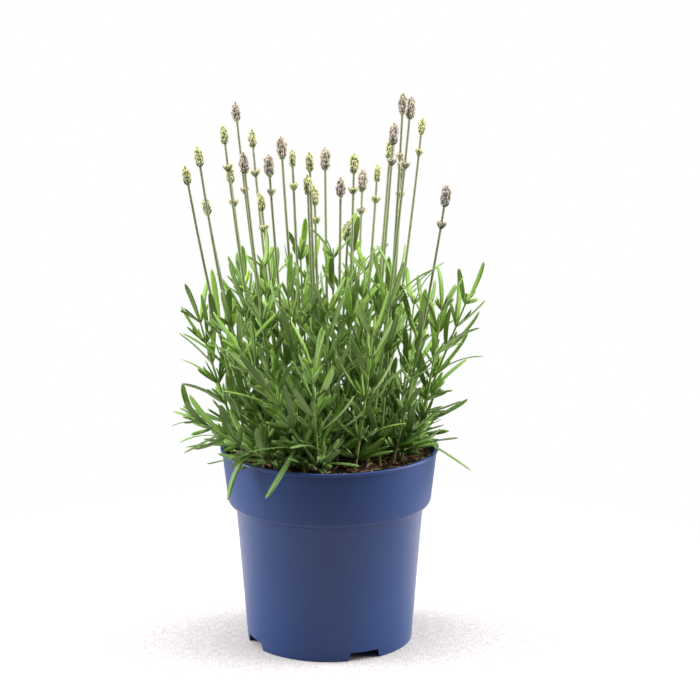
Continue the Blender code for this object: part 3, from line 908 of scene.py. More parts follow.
def add_blade(bm, blade, frames, half_width):
    """Lays one unit leaf along its frames. The middle is grooved and the edges roll under."""
    first = len(bm.verts)
    bm.from_mesh(blade)
    bm.verts.ensure_lookup_table()
    last_row = len(frames) - 1
    for vert in bm.verts[first:]:
        across, along, layer = vert.co
        place, side, rise = frames[round(along * last_row)]
        width = half_width * blade_width(row_share(along))
        groove = BLADE_GROOVE * (1 - abs(across)) ** 2 * 2 * (1 - along)
        roll = BLADE_ROLL * across**4
        lift_up = -width * (groove + roll)
        full = BLADE_EDGE_THICKNESS + (1 - BLADE_EDGE_THICKNESS) * (1 - abs(across))
        thick = BLADE_THICKNESS * (layer - 0.5) * full
        vert.co = place + side * (across * width) + rise * (lift_up + thick)


def leaf_tone_with_painted_shade(shoot, height_share, chance):
    """Deep green low in the bush and fresh green higher up, which paints the shade inside the bush,
    and yellow-green at young tips.
    """
    # The tone rises with height: painted shade low in the bush, on top of a tone that differs at
    # random
    tone = PAINTED_SHADE_LOW_TONE + PAINTED_SHADE_TONE_RISE * height_share + chance.uniform(-TONE_CHANCE, TONE_CHANCE)
    if shoot.head:
        tone -= FLOWER_LEAF_DARKER
    return max(0, min(LEAF_TONES - 1, round(tone)))


def add_leaf(bm, blades, shoot, leaf, chance):
    _, across, rise = leaf.directions()
    foot = leaf.root - leaf.outward * (STEM_HALF_SIDE * LEAF_SUNK)
    low = shoot.name.startswith("low")
    twist = chance.uniform(-1, 1) * (LOW_TWIST if low else TWIST)
    frames = blade_frames(foot, leaf.middle, leaf.tip, -across, twist, BLADE_ROWS)
    height = (leaf.middle.z - COMPOST_TOP) / TONE_HEIGHT
    tone = leaf_tone_with_painted_shade(shoot, min(1, height), chance)
    half_width = LEAF_HALF_WIDTH * chance.uniform(*LEAF_WIDTHS) * (LOW_LEAF_WIDER if low else 1)
    add_blade(bm, blades["leaf", tone], frames, half_width)


def add_young_leaf(bm, blades, shoot, share, outward, chance):
    """One small leaf of the tuft that grows in a leaf joint."""
    point, along, _, _ = shoot.frame(share)
    sideways = along.cross(outward)
    low = 1 - min(1, (point.z - COMPOST_TOP) / YOUNG_LOW_RISE)
    lean = chance.uniform(*YOUNG_LEANS) + YOUNG_LOW_LEAN * low
    swing = chance.uniform(-YOUNG_SWING, YOUNG_SWING) * (1 + low)
    start = along * math.cos(lean) + outward * math.sin(lean) + sideways * swing
    start.normalize()
    finish = (start + outward * chance.uniform(*YOUNG_CURLS)).normalized()
    length = YOUNG_LENGTH * chance.uniform(*YOUNG_LENGTHS) * (1 + YOUNG_LOW_LONGER * low)
    root = point + outward * (STEM_HALF_SIDE * YOUNG_SUNK)
    middle = root + start * (length / 2)
    tip = middle + finish * (length / 2)
    if not is_clear_of_pot(tip) or not is_clear_of_pot(middle):
        return
    across = start.cross(outward)
    if across.length < ALMOST_ALONG:
        across = sideways
    across.normalize()
    if across.cross(start).dot(along - outward * 0.5) < 0:
        across.negate()
    twist = chance.uniform(-YOUNG_TWIST, YOUNG_TWIST)
    frames = blade_frames(root, middle, tip, across, twist, YOUNG_ROWS)
    height = (point.z - COMPOST_TOP) / YOUNG_TONE_HEIGHT
    tone = leaf_tone_with_painted_shade(shoot, min(YOUNG_TONE_MOST, height + YOUNG_TONE_LIFT), chance)
    half_width = YOUNG_HALF_WIDTH * chance.uniform(*YOUNG_WIDTHS) * (1 + YOUNG_LOW_WIDER * low)
    add_blade(bm, blades["young", tone], frames, half_width)


def young_leaves_at(shoot, level):
    """How many young leaves each joint holds: most low on the stem."""
    counts = YOUNG_ON_FLOWER_STEM if shoot.head else YOUNG_ON_SHOOT
    return counts[min(level, len(counts) - 1)]


def make_leaves(shoot, blades, material):
    """All the leaves of one shoot."""
    chance = random.Random(YOUNG_SEED + sum(map(ord, shoot.name)))
    bm = bmesh.new()
    for leaf in shoot.leaves:
        add_leaf(bm, blades, shoot, leaf, chance)
    for level, share in enumerate(shoot.pairs):
        outward = shoot.sides(share)
        for side in (level % 2, level % 2 + 2):
            for _ in range(young_leaves_at(shoot, level)):
                add_young_leaf(bm, blades, shoot, share, outward[side], chance)
    keep(shoot.name + "_leaves", bm, [material], [shoot.name])


# ---- Stems --------------------------------------------------------------------------------


def stem_thickness(shoot, share):
    """Half the side of the stem: it tapers, and swells a little at each leaf pair."""
    tip = TIP_HALF_SIDE * (FLOWER_TIP_SIZE if shoot.head else SHOOT_TIP_SIZE)
    half = STEM_HALF_SIDE + (tip - STEM_HALF_SIDE) * share**STEM_TAPER
    for pair in shoot.pairs:
        away = (share - pair) * shoot.length() / JOINT_LENGTH
        half *= 1 + JOINT_SWELL * math.exp(-(away**2))
    return half


def stem_section(shoot, share):
    """A square section with rounded corners, as eight points in turn."""
    point, _, side, other = shoot.frame(share)
    half = stem_thickness(shoot, share)
    ring = []
    for a, b in CORNER_SIGNS:
        first, second = (1.0, STEM_ROUND) if a * b > 0 else (STEM_ROUND, 1.0)
        ring.append(point + side * (half * a * first) + other * (half * b * second))
        ring.append(point + side * (half * a * second) + other * (half * b * first))
    return ring


def stem_shares(shoot):
    """The places of the stem's sections: even ones, and closer ones at each leaf pair."""
    even = [step / STEM_STEPS for step in range(STEM_STEPS + 1)]
    offsets = (-JOINT_LENGTH, 0, JOINT_LENGTH)
    near = [pair + offset / shoot.length() for pair in shoot.pairs for offset in offsets]
    top = 1 - HEAD_LENGTH * STEM_INTO_HEAD / shoot.length() if shoot.head else 1
    return sorted(share for share in even + near if 0 <= share <= top)


def lift(bm, face, corners):
    """Extrudes a face to new corners, given in the order of its own."""
    face = bmesh.ops.extrude_discrete_faces(bm, faces=[face])["faces"][0]
    for vert, corner in zip(face.verts, corners):
        vert.co = corner
    return face


def paint_walls(layer, top, low_share, high_share, tone):
    """Gives the walls under a face their place on the stem's map: up the stem, and its tone."""
    walls = [wall for edge in top.edges for wall in edge.link_faces if wall is not top]
    top_verts = set(top.verts)
    places = ((0, low_share), (0, high_share), (1, high_share), (1, low_share))
    for wall in walls:
        loops = list(wall.loops)
        while loops[0].vert in top_verts or loops[1].vert not in top_verts:
            loops.append(loops.pop(0))
        for loop, (across, share) in zip(loops, places):
            column = (tone + inset(across, MAP_SIDE_MARGIN)) / STEM_TONES
            loop[layer].uv = (column, inset(share, MAP_END_MARGIN))


def add_stem(bm, shoot, tone):
    """Extrudes one stem, section by section, from just under the compost to its tip."""
    shares = stem_shares(shoot)
    sections = [stem_section(shoot, share) for share in shares]
    sunk = shoot.frame(0)[1] * STEM_BURIED
    shares.insert(0, 0)
    sections.insert(0, [corner - sunk for corner in sections[0]])
    layer = bm.loops.layers.uv.get("OFBake") or bm.loops.layers.uv.new("OFBake")
    made = bmesh.ops.create_cone(
        bm, cap_ends=True, segments=STEM_SIDES, radius1=1, radius2=1, depth=1
    )["verts"]
    caps = {face for vert in made for face in vert.link_faces if len(face.verts) == STEM_SIDES}
    bottom, top = sorted(caps, key=lambda face: face.calc_center_median().z)
    one_side = math.tau / STEM_SIDES
    turn = {vert: round(math.atan2(vert.co.y, vert.co.x) / one_side) % STEM_SIDES for vert in made}
    order = [turn[vert] for vert in top.verts]
    for vert in bottom.verts:
        vert.co = sections[0][turn[vert]]
    for vert in top.verts:
        vert.co = sections[1][turn[vert]]
    paint_walls(layer, top, shares[0], shares[1], tone)
    for index in range(2, len(sections)):
        top = lift(bm, top, [sections[index][place] for place in order])
        paint_walls(layer, top, shares[index - 1], shares[index], tone)
    for cap, share in ((bottom, 0.0), (top, 1.0)):
        for loop in cap.loops:
            loop[layer].uv = ((tone + 0.5) / STEM_TONES, inset(share, MAP_END_MARGIN))


def make_stems(name, shoots, material):
    """The stems of several shoots, as one piece."""
    bm = bmesh.new()
    for index, shoot in enumerate(shoots):
        add_stem(bm, shoot, index % STEM_TONES)
    keep(name, bm, [material], [shoot.name for shoot in shoots])


# ---- Flower heads -------------------------------------------------------------------------


def bud_width(along):
    """A bud's width along its length: a narrow foot, a full middle and a drawn-in mouth."""
    return 0.30 + 1.35 * along - 0.95 * along**2 - 0.35 * along**8


def make_bud(tone):
    """A unit bud, 1 long and 1 in half width, standing on its foot."""
    bm = bmesh.new()
    bmesh.ops.create_uvsphere(bm, u_segments=7, v_segments=5, radius=1)
    for vert in bm.verts:
        along = 1 - math.acos(max(-1, min(1, vert.co.z))) / math.pi
        out = math.hypot(vert.co.x, vert.co.y)
        if out > 0.01:
            vert.co.x *= bud_width(along) / out
            vert.co.y *= bud_width(along) / out
        vert.co.z = along
    layer = bm.loops.layers.uv.new("OFBake")
    for face in bm.faces:
        for place, loop in enumerate(face.loops):
            around = 0.5 + 0.4 * math.cos(place * math.tau / len(face.loops) + 0.8)
            loop[layer].uv = ((tone + around) / BUD_TONES, inset(loop.vert.co.z, MAP_END_MARGIN))
    mesh = bpy.data.meshes.new("unit bud")
    bm.to_mesh(mesh)
    bm.free()
    return mesh


def add_bud(bm, bud, foot, along, length, radius):
    """Stands one unit bud at a place, pointing along a direction."""
    first = len(bm.verts)
    bm.from_mesh(bud)
    bm.verts.ensure_lookup_table()
    turn = along.to_track_quat("Z", "Y").to_matrix()
    for vert in bm.verts[first:]:
        shape = Vector((vert.co.x * radius, vert.co.y * radius, vert.co.z * length))
        vert.co = foot + turn @ shape


def add_whorl(bm, shapes, shoot, share, row, chance):
    """One ring of buds. row gives its count, lean, length, radius, distance out and tone."""
    count, lean, length, radius, out, tone = row
    point, along, side, other = shoot.frame(min(share, 1))
    start = chance.uniform(0, math.tau)
    for place in range(count):
        turn = start + (place + chance.uniform(-BUD_TURN_CHANCE, BUD_TURN_CHANCE)) * math.tau / count
        outward = side * math.cos(turn) + other * math.sin(turn)
        tilt = lean + chance.uniform(-BUD_TILT_CHANCE, BUD_TILT_CHANCE)
        direction = (along * math.cos(tilt) + outward * math.sin(tilt)).normalized()
        rise = chance.uniform(-BUD_HEIGHT_CHANCE, BUD_HEIGHT_CHANCE)
        foot = point + outward * out + along * rise
        size = chance.uniform(*BUD_SIZES)
        shade = max(0, min(BUD_TONES - 1, tone + chance.choice((-1, 0, 0, 1))))
        add_bud(bm, shapes["bud", shade], foot, direction, length * size, radius * size)


def add_bracts(bm, shapes, shoot, share, row):
    """The pair of small scale leaves under a whorl. row gives lean, length and half width."""
    lean, length, half_width = row
    point, along, side, other = shoot.frame(share)
    for outward, across in ((side, -other), (-side, other)):
        root = point + outward * BRACT_OUT
        start = (along * math.cos(lean) + outward * math.sin(lean)).normalized()
        middle = root + start * (length / 2)
        finish = (along * BRACT_TIP_UP + outward * BRACT_TIP_OUT).normalized()
        tip = middle + finish * (length / 2)
        frames = blade_frames(root, middle, tip, across, 0, YOUNG_ROWS)
        add_blade(bm, shapes["bract"], frames, half_width)


def head_fullness(step):
    """How large a head's buds are, from its foot to its top: full in the middle."""
    if step < HEAD_FULLEST:
        return HEAD_FOOT_SIZE + (1 - HEAD_FOOT_SIZE) * step / HEAD_FULLEST
    above = (step - HEAD_FULLEST) / (1 - HEAD_FULLEST)
    return 1 - (1 - HEAD_TOP_SIZE) * above**HEAD_DRAWN_IN


def make_head(shoot, ripe, shapes, materials):
    """A flowering stem's head: whorls of buds that shrink upwards, and the lone whorl below."""
    chance = random.Random(HEAD_SEED + sum(map(ord, shoot.name)))
    bm = bmesh.new()
    unit = 1 / shoot.length()
    size = chance.uniform(*(RIPE_HEAD_SIZES if ripe else YOUNG_HEAD_SIZES))
    tone = RIPE_TONE if ripe else chance.choice(YOUNG_HEAD_TONES)
    head = HEAD_LENGTH * size * unit
    core = (1, 0.0, HEAD_LENGTH * size * HEAD_CORE_LENGTH, HEAD_CORE_RADIUS * size, 0.0, tone)
    add_whorl(bm, shapes, shoot, 1 - head, core, chance)
    for whorl in range(HEAD_WHORLS):
        step = whorl / (HEAD_WHORLS - 1)
        share = 1 - head + head * WHORLS_REACH * step
        small = head_fullness(step)
        length = BUD_LENGTH * size * small
        lean = BUD_LEAN - BUD_LEAN_LOSS * step
        count = BUDS_PER_WHORL if step < FEWER_BUDS_FROM else BUDS_PER_WHORL - 2
        whorl_tone = tone - (step > TOP_TONE_FROM)
        row = (count, lean, length, BUD_RADIUS * size * small, BUDS_OUT, whorl_tone)
        add_whorl(bm, shapes, shoot, share, row, chance)
        if whorl % 2 == 0:
            bract_lean, bract_length, bract_width = HEAD_BRACT
            bract = (bract_lean, bract_length * size, bract_width)
            add_bracts(bm, shapes, shoot, share - HEAD_BRACT_BELOW * unit, bract)
    top = (1, 0.0, BUD_LENGTH * TOP_BUD_LENGTH, BUD_RADIUS * TOP_BUD_RADIUS, 0.0, tone - 1)
    add_whorl(bm, shapes, shoot, 1 - head * TOP_BUD_BELOW_TIP, top, chance)
    if shoot.whorl:
        share = 1 - (HEAD_LENGTH + shoot.whorl + WHORL_LENGTH * LONE_WHORL_FOOT) * unit
        length = BUD_LENGTH * LONE_BUD_LENGTH
        radius = BUD_RADIUS * LONE_BUD_RADIUS
        low_tone = tone - 1 if ripe else tone
        row = (LONE_BUDS, LONE_LEAN, length, radius, LONE_BUDS_OUT, low_tone)
        add_whorl(bm, shapes, shoot, share, row, chance)
        add_bracts(bm, shapes, shoot, share - LONE_BRACT_BELOW * unit, LONE_BRACT)
    keep(shoot.name + "_head", bm, materials, [shoot.name])


# ---- Compost ------------------------------------------------------------------------------


def surface_height(across, deep):
    """The height of the compost's crumbly top at a place."""
    place = Vector((across, deep, COMPOST_SLICE))
    lumps = sum(noise.noise(place * scale) * height for scale, height in COMPOST_LUMPS)
    edge = max(0.0, math.hypot(across, deep) - COMPOST_EDGE) * COMPOST_EDGE_FALL
    return COMPOST_TOP - COMPOST_SUNK + lumps - edge


def make_compost_body(material):
    """The compost itself, down to the pot's floor, with its uneven top."""
    outline = inner_wall(CLEARANCE, COMPOST_TOP)
    edge = outline[-1][0]
    profile = [(0, FLOOR_TOP + CLEARANCE)] + outline
    profile += [(edge * (1 - step / COMPOST_RINGS), COMPOST_TOP) for step in range(1, COMPOST_RINGS)]
    profile.append((0, COMPOST_TOP))
    bm = spin_profile(profile, COMPOST_SIDES)
    for vert in bm.verts:
        if vert.co.z > COMPOST_TOP - MERGE_DISTANCE:
            vert.co.z = surface_height(vert.co.x, vert.co.y)
    keep("compost_body", bm, [material], ["compost"])


def add_crumb(bm, place, size, turn, material, chance):
    """One rough lump, such as a bark chip or a crumb."""
    made = bmesh.ops.create_icosphere(bm, subdivisions=1, radius=1)["verts"]
    spin = Matrix.Rotation(turn[0], 3, "Z") @ Matrix.Rotation(turn[1], 3, "X")
    for vert in made:
        rough = chance.uniform(*CRUMB_ROUGHNESS)
        shape = Vector((vert.co.x * size[0], vert.co.y * size[1], vert.co.z * size[2])) * rough
        vert.co = place + spin @ shape
    for face in {face for vert in made for face in vert.link_faces}:
        face.material_index = material


def spot_on_compost(chance, margin):
    """A random place on the compost, a little more often near the rim, where less grows."""
    out = (RIM_RADIUS - WALL - LIP_OVERHANG - margin) * chance.uniform(0, 1) ** TOWARDS_RIM
    turn = chance.uniform(0, math.tau)
    across, deep = out * math.cos(turn), out * math.sin(turn)
    return Vector((across, deep, surface_height(across, deep)))


def add_fibre(bm, place, chance):
    """One thin peat fibre that lies on the compost in a shallow curve."""
    turn = chance.uniform(0, math.tau)
    way = Vector((math.cos(turn), math.sin(turn), chance.uniform(*FIBRE_TILTS)))
    bend = Vector((-way.y, way.x, 0)) * chance.uniform(-FIBRE_BEND, FIBRE_BEND)
    length = chance.uniform(*FIBRE_LENGTHS)
    half = chance.uniform(*FIBRE_HALF_WIDTHS)
    made = bmesh.ops.create_cone(
        bm, cap_ends=True, segments=4, radius1=half, radius2=half, depth=1
    )["verts"]
    caps = {face for vert in made for face in vert.link_faces if abs(face.normal.z) > 0.9}
    top = max(caps, key=lambda face: face.calc_center_median().z)
    turn_to = way.to_track_quat("Z", "Y").to_matrix()
    flat = {vert: Vector((vert.co.x, vert.co.y, 0)) for vert in made}
    top_verts = set(top.verts)
    for vert in made:
        share = 1 / FIBRE_STEPS if vert in top_verts else 0
        vert.co = place + turn_to @ flat[vert] + (way * share + bend * share**2) * length
    walls = {face for vert in made for face in vert.link_faces}
    order = [flat[vert] for vert in top.verts]
    for step in range(2, FIBRE_STEPS + 1):
        share = step / FIBRE_STEPS
        middle = place + (way * share + bend * share**2) * length
        top = lift(bm, top, [middle + turn_to @ corner for corner in order])
        walls |= {face for vert in top.verts for face in vert.link_faces}
    for face in walls:
        if face.is_valid:
            face.material_index = FIBRE_PLACE


def make_crumbs(materials):
    """Bark chips, crumbs, fibres and perlite on the compost."""
    chance = random.Random(CRUMB_SEED)
    bm = bmesh.new()
    for _ in range(BARK_CHIPS):
        long = chance.uniform(*BARK_LENGTHS)
        size = (long, long * chance.uniform(*BARK_WIDTHS), long * chance.uniform(*BARK_HEIGHTS))
        place = spot_on_compost(chance, long)
        place.z += size[2] * BARK_RISE
        turn = (chance.uniform(0, math.tau), chance.uniform(-BARK_TILT, BARK_TILT))
        add_crumb(bm, place, size, turn, BARK_PLACE, chance)
    for _ in range(FIBRES):
        place = spot_on_compost(chance, FIBRE_MARGIN)
        place.z += FIBRE_RISE
        add_fibre(bm, place, chance)
    for _ in range(PERLITE):
        long = chance.uniform(*PERLITE_LENGTHS)
        size = (long, long * PERLITE_WIDTH, long * PERLITE_HEIGHT)
        place = spot_on_compost(chance, long)
        place.z += long * PERLITE_RISE
        add_crumb(bm, place, size, (0, 0), PERLITE_PLACE, chance)
    piece = keep("bark_and_fibre", bm, materials, ["compost"])
    piece.data.set_sharp_from_angle(angle=CRUMB_SHARP_ANGLE)


# ---- Pot ----------------------------------------------------------------------------------


def spin_profile(profile, sides):
    """Turns a closed outline, from axis to axis, once round Z."""
    bm = bmesh.new()
    verts = [bm.verts.new((radius, 0, height)) for radius, height in profile]
    edges = [bm.edges.new(pair) for pair in zip(verts, verts[1:])]
    bmesh.ops.spin(
        bm,
        geom=verts + edges,
        axis=(0, 0, 1),
        cent=(0, 0, 0),
        steps=sides,
        angle=math.tau,
        use_merge=True,
    )
    bmesh.ops.remove_doubles(bm, verts=bm.verts, dist=MERGE_DISTANCE)
    bmesh.ops.recalc_face_normals(bm, faces=bm.faces)
    return bm


def inner_wall(gap, top):
    """The pot's inner side from the floor to a height, drawn in by a gap."""
    floor_share = FLOOR_TOP / COLLAR_FOOT
    floor_radius = BASE_RADIUS + (BODY_TOP_RADIUS - BASE_RADIUS) * floor_share - WALL
    ledge = COLLAR_FOOT + WALL + gap
    wide = COLLAR_FOOT + SHOULDER_ROUND
    rise = (top - wide) / (POT_HEIGHT - wide)
    foot_radius = COLLAR_FOOT_RADIUS - WALL
    top_radius = foot_radius + (RIM_RADIUS - LIP_OVERHANG - WALL - foot_radius) * rise
    return [
        (floor_radius - gap, FLOOR_TOP + gap),
        (BODY_TOP_RADIUS - WALL - gap, ledge),
        (COLLAR_FOOT_RADIUS - SHOULDER_ROUND - gap, ledge),
        (foot_radius - gap, wide + gap),
        (top_radius - gap, top),
    ]


def arc(centre, radius, first, last, steps):
    """Points of an arc in the outline's plane, as (radius from the axis, height)."""
    points = []
    for step in range(steps + 1):
        turn = math.radians(first + (last - first) * step / steps)
        points.append((centre[0] + radius * math.cos(turn), centre[1] + radius * math.sin(turn)))
    return points


def pot_outline():
    """The wall from under the floor, round the foot, up the outside and down the inside."""
    foot_inside = BASE_RADIUS - WALL
    outline = [(0, FLOOR_LIFT), (foot_inside, FLOOR_LIFT), (foot_inside, EDGE_ROUND)]
    outline += arc((foot_inside + EDGE_ROUND, EDGE_ROUND), EDGE_ROUND, 180, 270, EDGE_STEPS - 1)[1:]
    outline += arc((BASE_RADIUS - FOOT_ROUND, FOOT_ROUND), FOOT_ROUND, 270, 360, EDGE_STEPS)
    outline.append((BODY_TOP_RADIUS, COLLAR_FOOT - COLLAR_EDGE_DROP))
    outline.append((BODY_TOP_RADIUS + COLLAR_EDGE_OUT, COLLAR_FOOT))
    shoulder = (COLLAR_FOOT_RADIUS - SHOULDER_ROUND, COLLAR_FOOT + SHOULDER_ROUND)
    outline += arc(shoulder, SHOULDER_ROUND, 270, 356, SHOULDER_STEPS)
    lip_foot = POT_HEIGHT - LIP_HEIGHT
    under_lip = RIM_RADIUS - LIP_OVERHANG
    outline.append((under_lip, lip_foot))
    outline += arc((under_lip, lip_foot + LIP_OVERHANG), LIP_OVERHANG, 270, 360, EDGE_STEPS)[1:]
    half_lip = (WALL + LIP_OVERHANG) / 2
    round_top = min(LIP_ROUND, half_lip)
    outline += arc((RIM_RADIUS - round_top, POT_HEIGHT - round_top), round_top, 0, 90, EDGE_STEPS)
    inside = under_lip - WALL
    outline += arc((inside + round_top, POT_HEIGHT - round_top), round_top, 90, 180, EDGE_STEPS)
    outline += list(reversed(inner_wall(0, POT_HEIGHT - round_top)))[1:]
    outline.append((0, FLOOR_TOP))
    return outline


def make_notch(bm, turn):
    """A wedge that cuts one drain notch, narrower at its top."""
    made = bmesh.ops.create_cube(bm, size=1)["verts"]
    for vert in made:
        is_top = vert.co.z > 0
        width = NOTCH_WIDTH_TOP if is_top else NOTCH_WIDTH_FOOT
        height = NOTCH_HEIGHT if is_top else -NOTCH_HEIGHT
        across = BASE_RADIUS * (1 + vert.co.x * NOTCH_DEPTH_SHARE)
        vert.co = (across, vert.co.y * width, height)
    bmesh.ops.rotate(bm, verts=made, cent=(0, 0, 0), matrix=Matrix.Rotation(turn, 3, "Z"))


def make_drain_hole(bm, turn):
    place = Matrix.Rotation(turn, 4, "Z") @ Matrix.Translation((DRAIN_RING_RADIUS, 0, FLOOR_LIFT))
    bmesh.ops.create_cone(
        bm,
        cap_ends=True,
        segments=DRAIN_HOLE_SIDES,
        radius1=DRAIN_HOLE_RADIUS,
        radius2=DRAIN_HOLE_RADIUS,
        depth=FLOOR_THICKNESS * 4,
        matrix=place,
    )


def cut_drains(bm):
    """Cuts the notches and the drain holes out of the turned shell."""
    shell_mesh = bpy.data.meshes.new("shell")
    bm.to_mesh(shell_mesh)
    bm.free()
    cutter_bm = bmesh.new()
    for notch in range(NOTCH_COUNT):
        make_notch(cutter_bm, NOTCH_TURN + notch * math.tau / NOTCH_COUNT)
    for hole in range(DRAIN_HOLES):
        make_drain_hole(cutter_bm, hole * math.tau / DRAIN_HOLES)
    cutter_mesh = bpy.data.meshes.new("drain cutter")
    cutter_bm.to_mesh(cutter_mesh)
    cutter_bm.free()
    shell = bpy.data.objects.new("shell", shell_mesh)
    cutter = bpy.data.objects.new("drain cutter", cutter_mesh)
    for made in (shell, cutter):
        bpy.context.scene.collection.objects.link(made)
    cut = shell.modifiers.new("drains", "BOOLEAN")
    cut.operation = "DIFFERENCE"
    cut.object = cutter
    graph = bpy.context.evaluated_depsgraph_get()
    result = bmesh.new()
    result.from_object(shell, graph)
    for made in (shell, cutter):
        bpy.data.objects.remove(made, do_unlink=True)
    return result


def make_pot(material):
    bm = cut_drains(spin_profile(pot_outline(), TURNED_SIDES))
    piece = keep("nursery_pot", bm, [material], ["pot"])
    piece.data.set_sharp_from_angle(angle=POT_SHARP_ANGLE)


# ---- Materials ----------------------------------------------------------------------------

# Where a colour mix takes its share and its two colours
MIX_SOCKETS = (0, 6, 7)


class Recipe:
    """A material under construction: its nodes are added and joined one at a time."""

    def __init__(self, name, roughness):
        self.material = bpy.data.materials.new(name)
        self.material.use_nodes = True
        self.nodes = self.material.node_tree.nodes
        self.links = self.material.node_tree.links
        self.shader = self.nodes["Principled BSDF"]
        self.shader.inputs["Roughness"].default_value = roughness

    def add(self, kind, **settings):
        node = self.nodes.new(kind)
        for name, value in settings.items():
            setattr(node, name, value)
        return node

    def join(self, source, target):
        self.links.new(source, target)

    def sum(self, operation, first, second):
        node = self.add("ShaderNodeMath", operation=operation)
        for socket, value in zip(node.inputs, (first, second)):
            if isinstance(value, (int, float)):
                socket.default_value = value
            else:
                self.join(value, socket)
        return node.outputs[0]

    def mix(self, share, first, second, blend="MIX"):
        node = self.add("ShaderNodeMix", data_type="RGBA", blend_type=blend)
        sockets = [node.inputs[place] for place in MIX_SOCKETS]
        for socket, value in zip(sockets, (share, first, second)):
            if isinstance(value, tuple):
                socket.default_value = (*value, 1)
            elif isinstance(value, (int, float)):
                socket.default_value = value
            else:
                self.join(value, socket)
        return node.outputs[2]

    def ramp(self, share, stops):
        node = self.add("ShaderNodeValToRGB")
        band = node.color_ramp
        band.interpolation = "EASE"
        while len(band.elements) < len(stops):
            band.elements.new(0.5)
        for element, (place, colour) in zip(band.elements, stops):
            element.position = place
            red_green_blue = colour if isinstance(colour, tuple) else (colour, colour, colour)
            element.color = (*red_green_blue, 1)
        self.join(share, node.inputs[0])
        return node.outputs[0]

    def noise(self, place, scale, detail=3.0, roughness=0.55):
        node = self.add("ShaderNodeTexNoise")
        node.inputs["Scale"].default_value = scale
        node.inputs["Detail"].default_value = detail
        node.inputs["Roughness"].default_value = roughness
        self.join(place, node.inputs["Vector"])
        return node.outputs[0]

    def stretched(self, place, factors):
        node = self.add("ShaderNodeMapping")
        node.inputs["Scale"].default_value = factors
        self.join(place, node.inputs["Vector"])
        return node.outputs[0]

    def object_place(self):
        return self.add("ShaderNodeTexCoord").outputs["Object"]

    def map_place(self):
        return self.add("ShaderNodeUVMap", uv_map="OFBake").outputs[0]

    def bump(self, height, distance, strength=1.0):
        node = self.add("ShaderNodeBump")
        node.inputs["Distance"].default_value = distance
        node.inputs["Strength"].default_value = strength
        self.join(height, node.inputs["Height"])
        self.join(node.outputs[0], self.shader.inputs["Normal"])

    def colour(self, socket):
        self.join(socket, self.shader.inputs["Base Color"])

    def rough(self, socket):
        self.join(socket, self.shader.inputs["Roughness"])

    def gloss(self, specular, sheen=0.0, sheen_roughness=0.5):
        self.shader.inputs["Specular IOR Level"].default_value = specular
        self.shader.inputs["Sheen Weight"].default_value = sheen
        self.shader.inputs["Sheen Roughness"].default_value = sheen_roughness


def leaf_material():
    """Soft narrow leaves: eight greens, the darker of which paint the shade low in the bush, a pale
    midrib in a groove, and a greyer underside, made lighter to paint the light that shines through
    the thin leaf.
    """
    made = Recipe("lavender leaf", 0.52)
    split = made.add("ShaderNodeSeparateXYZ")
    made.join(made.map_place(), split.inputs[0])
    columns = made.sum("MULTIPLY", split.outputs[0], LEAF_TONES)
    tone = made.sum("DIVIDE", made.sum("FLOOR", columns, 0), LEAF_TONES - 1)
    across = made.sum("FRACT", columns, 0)
    layers = made.sum("MULTIPLY", split.outputs[1], 2)
    under = made.sum("FLOOR", layers, 0)
    along = made.sum("FRACT", layers, 0)
    off_middle = made.sum("ABSOLUTE", made.sum("SUBTRACT", across, 0.5), 0)
    # Eight greens, darkest first. The darker ones, chosen more often low in the bush, are painted
    # shade
    greens = (
        (0.00, (0.042, 0.096, 0.009)),
        (0.25, (0.082, 0.175, 0.015)),
        (0.50, (0.130, 0.252, 0.024)),
        (0.75, (0.178, 0.312, 0.032)),
        (1.00, (0.290, 0.415, 0.045)),
    )
    green = made.ramp(tone, greens)
    streaks = made.noise(made.stretched(made.map_place(), (130, 9, 1)), 1.0, 4)
    green = made.mix(made.sum("MULTIPLY", streaks, 0.45), green, (0.66, 0.70, 0.40), "SOFT_LIGHT")
    foot_share = made.ramp(along, ((0.0, 0.75), (0.22, 0.0)))
    green = made.mix(foot_share, green, (0.190, 0.290, 0.060))
    tip_share = made.ramp(along, ((0.80, 0.0), (1.0, 0.35)))
    green = made.mix(tip_share, green, (0.220, 0.320, 0.060))
    rib = made.ramp(off_middle, ((0.020, 0.65), (0.075, 0.0)))
    green = made.mix(rib, green, (0.235, 0.365, 0.095))
    edge = made.ramp(off_middle, ((0.36, 0.0), (0.46, 0.42)))
    green = made.mix(edge, green, (0.230, 0.345, 0.110))
    # The underside mixes in a lighter grey-green: the leaf's own greyer felt, and painted light that
    # shines through the thin leaf
    grey = made.mix(0.55, green, (0.240, 0.345, 0.125))
    made.colour(made.mix(under, green, grey))
    made.rough(made.sum("ADD", made.sum("MULTIPLY", streaks, 0.20), 0.40))
    groove = made.ramp(off_middle, ((0.0, 0.0), (0.10, 1.0)))
    height = made.sum("ADD", made.sum("MULTIPLY", groove, 0.6), made.sum("MULTIPLY", streaks, 0.5))
    made.bump(height, 0.00022, 0.7)
    made.gloss(0.34, 0.08, 0.45)
    return made.material


def stem_material(name, stops, bloom):
    """Square green stems with fine lengthwise ribs, in four close tones."""
    made = Recipe(name, 0.55)
    split = made.add("ShaderNodeSeparateXYZ")
    made.join(made.map_place(), split.inputs[0])
    tone = made.sum("FLOOR", made.sum("MULTIPLY", split.outputs[0], STEM_TONES), 0)
    green = made.ramp(split.outputs[1], stops)
    ribs = made.noise(made.stretched(made.map_place(), (46, 5, 1)), 1.0, 3)
    green = made.mix(made.sum("MULTIPLY", ribs, 0.5), green, (0.70, 0.80, 0.45), "SOFT_LIGHT")
    green = made.mix(made.sum("MULTIPLY", tone, bloom), green, (0.330, 0.300, 0.230))
    made.colour(green)
    made.rough(made.sum("ADD", made.sum("MULTIPLY", ribs, 0.25), 0.42))
    made.bump(ribs, 0.00015, 0.6)
    made.gloss(0.40, 0.15)
    return made.material


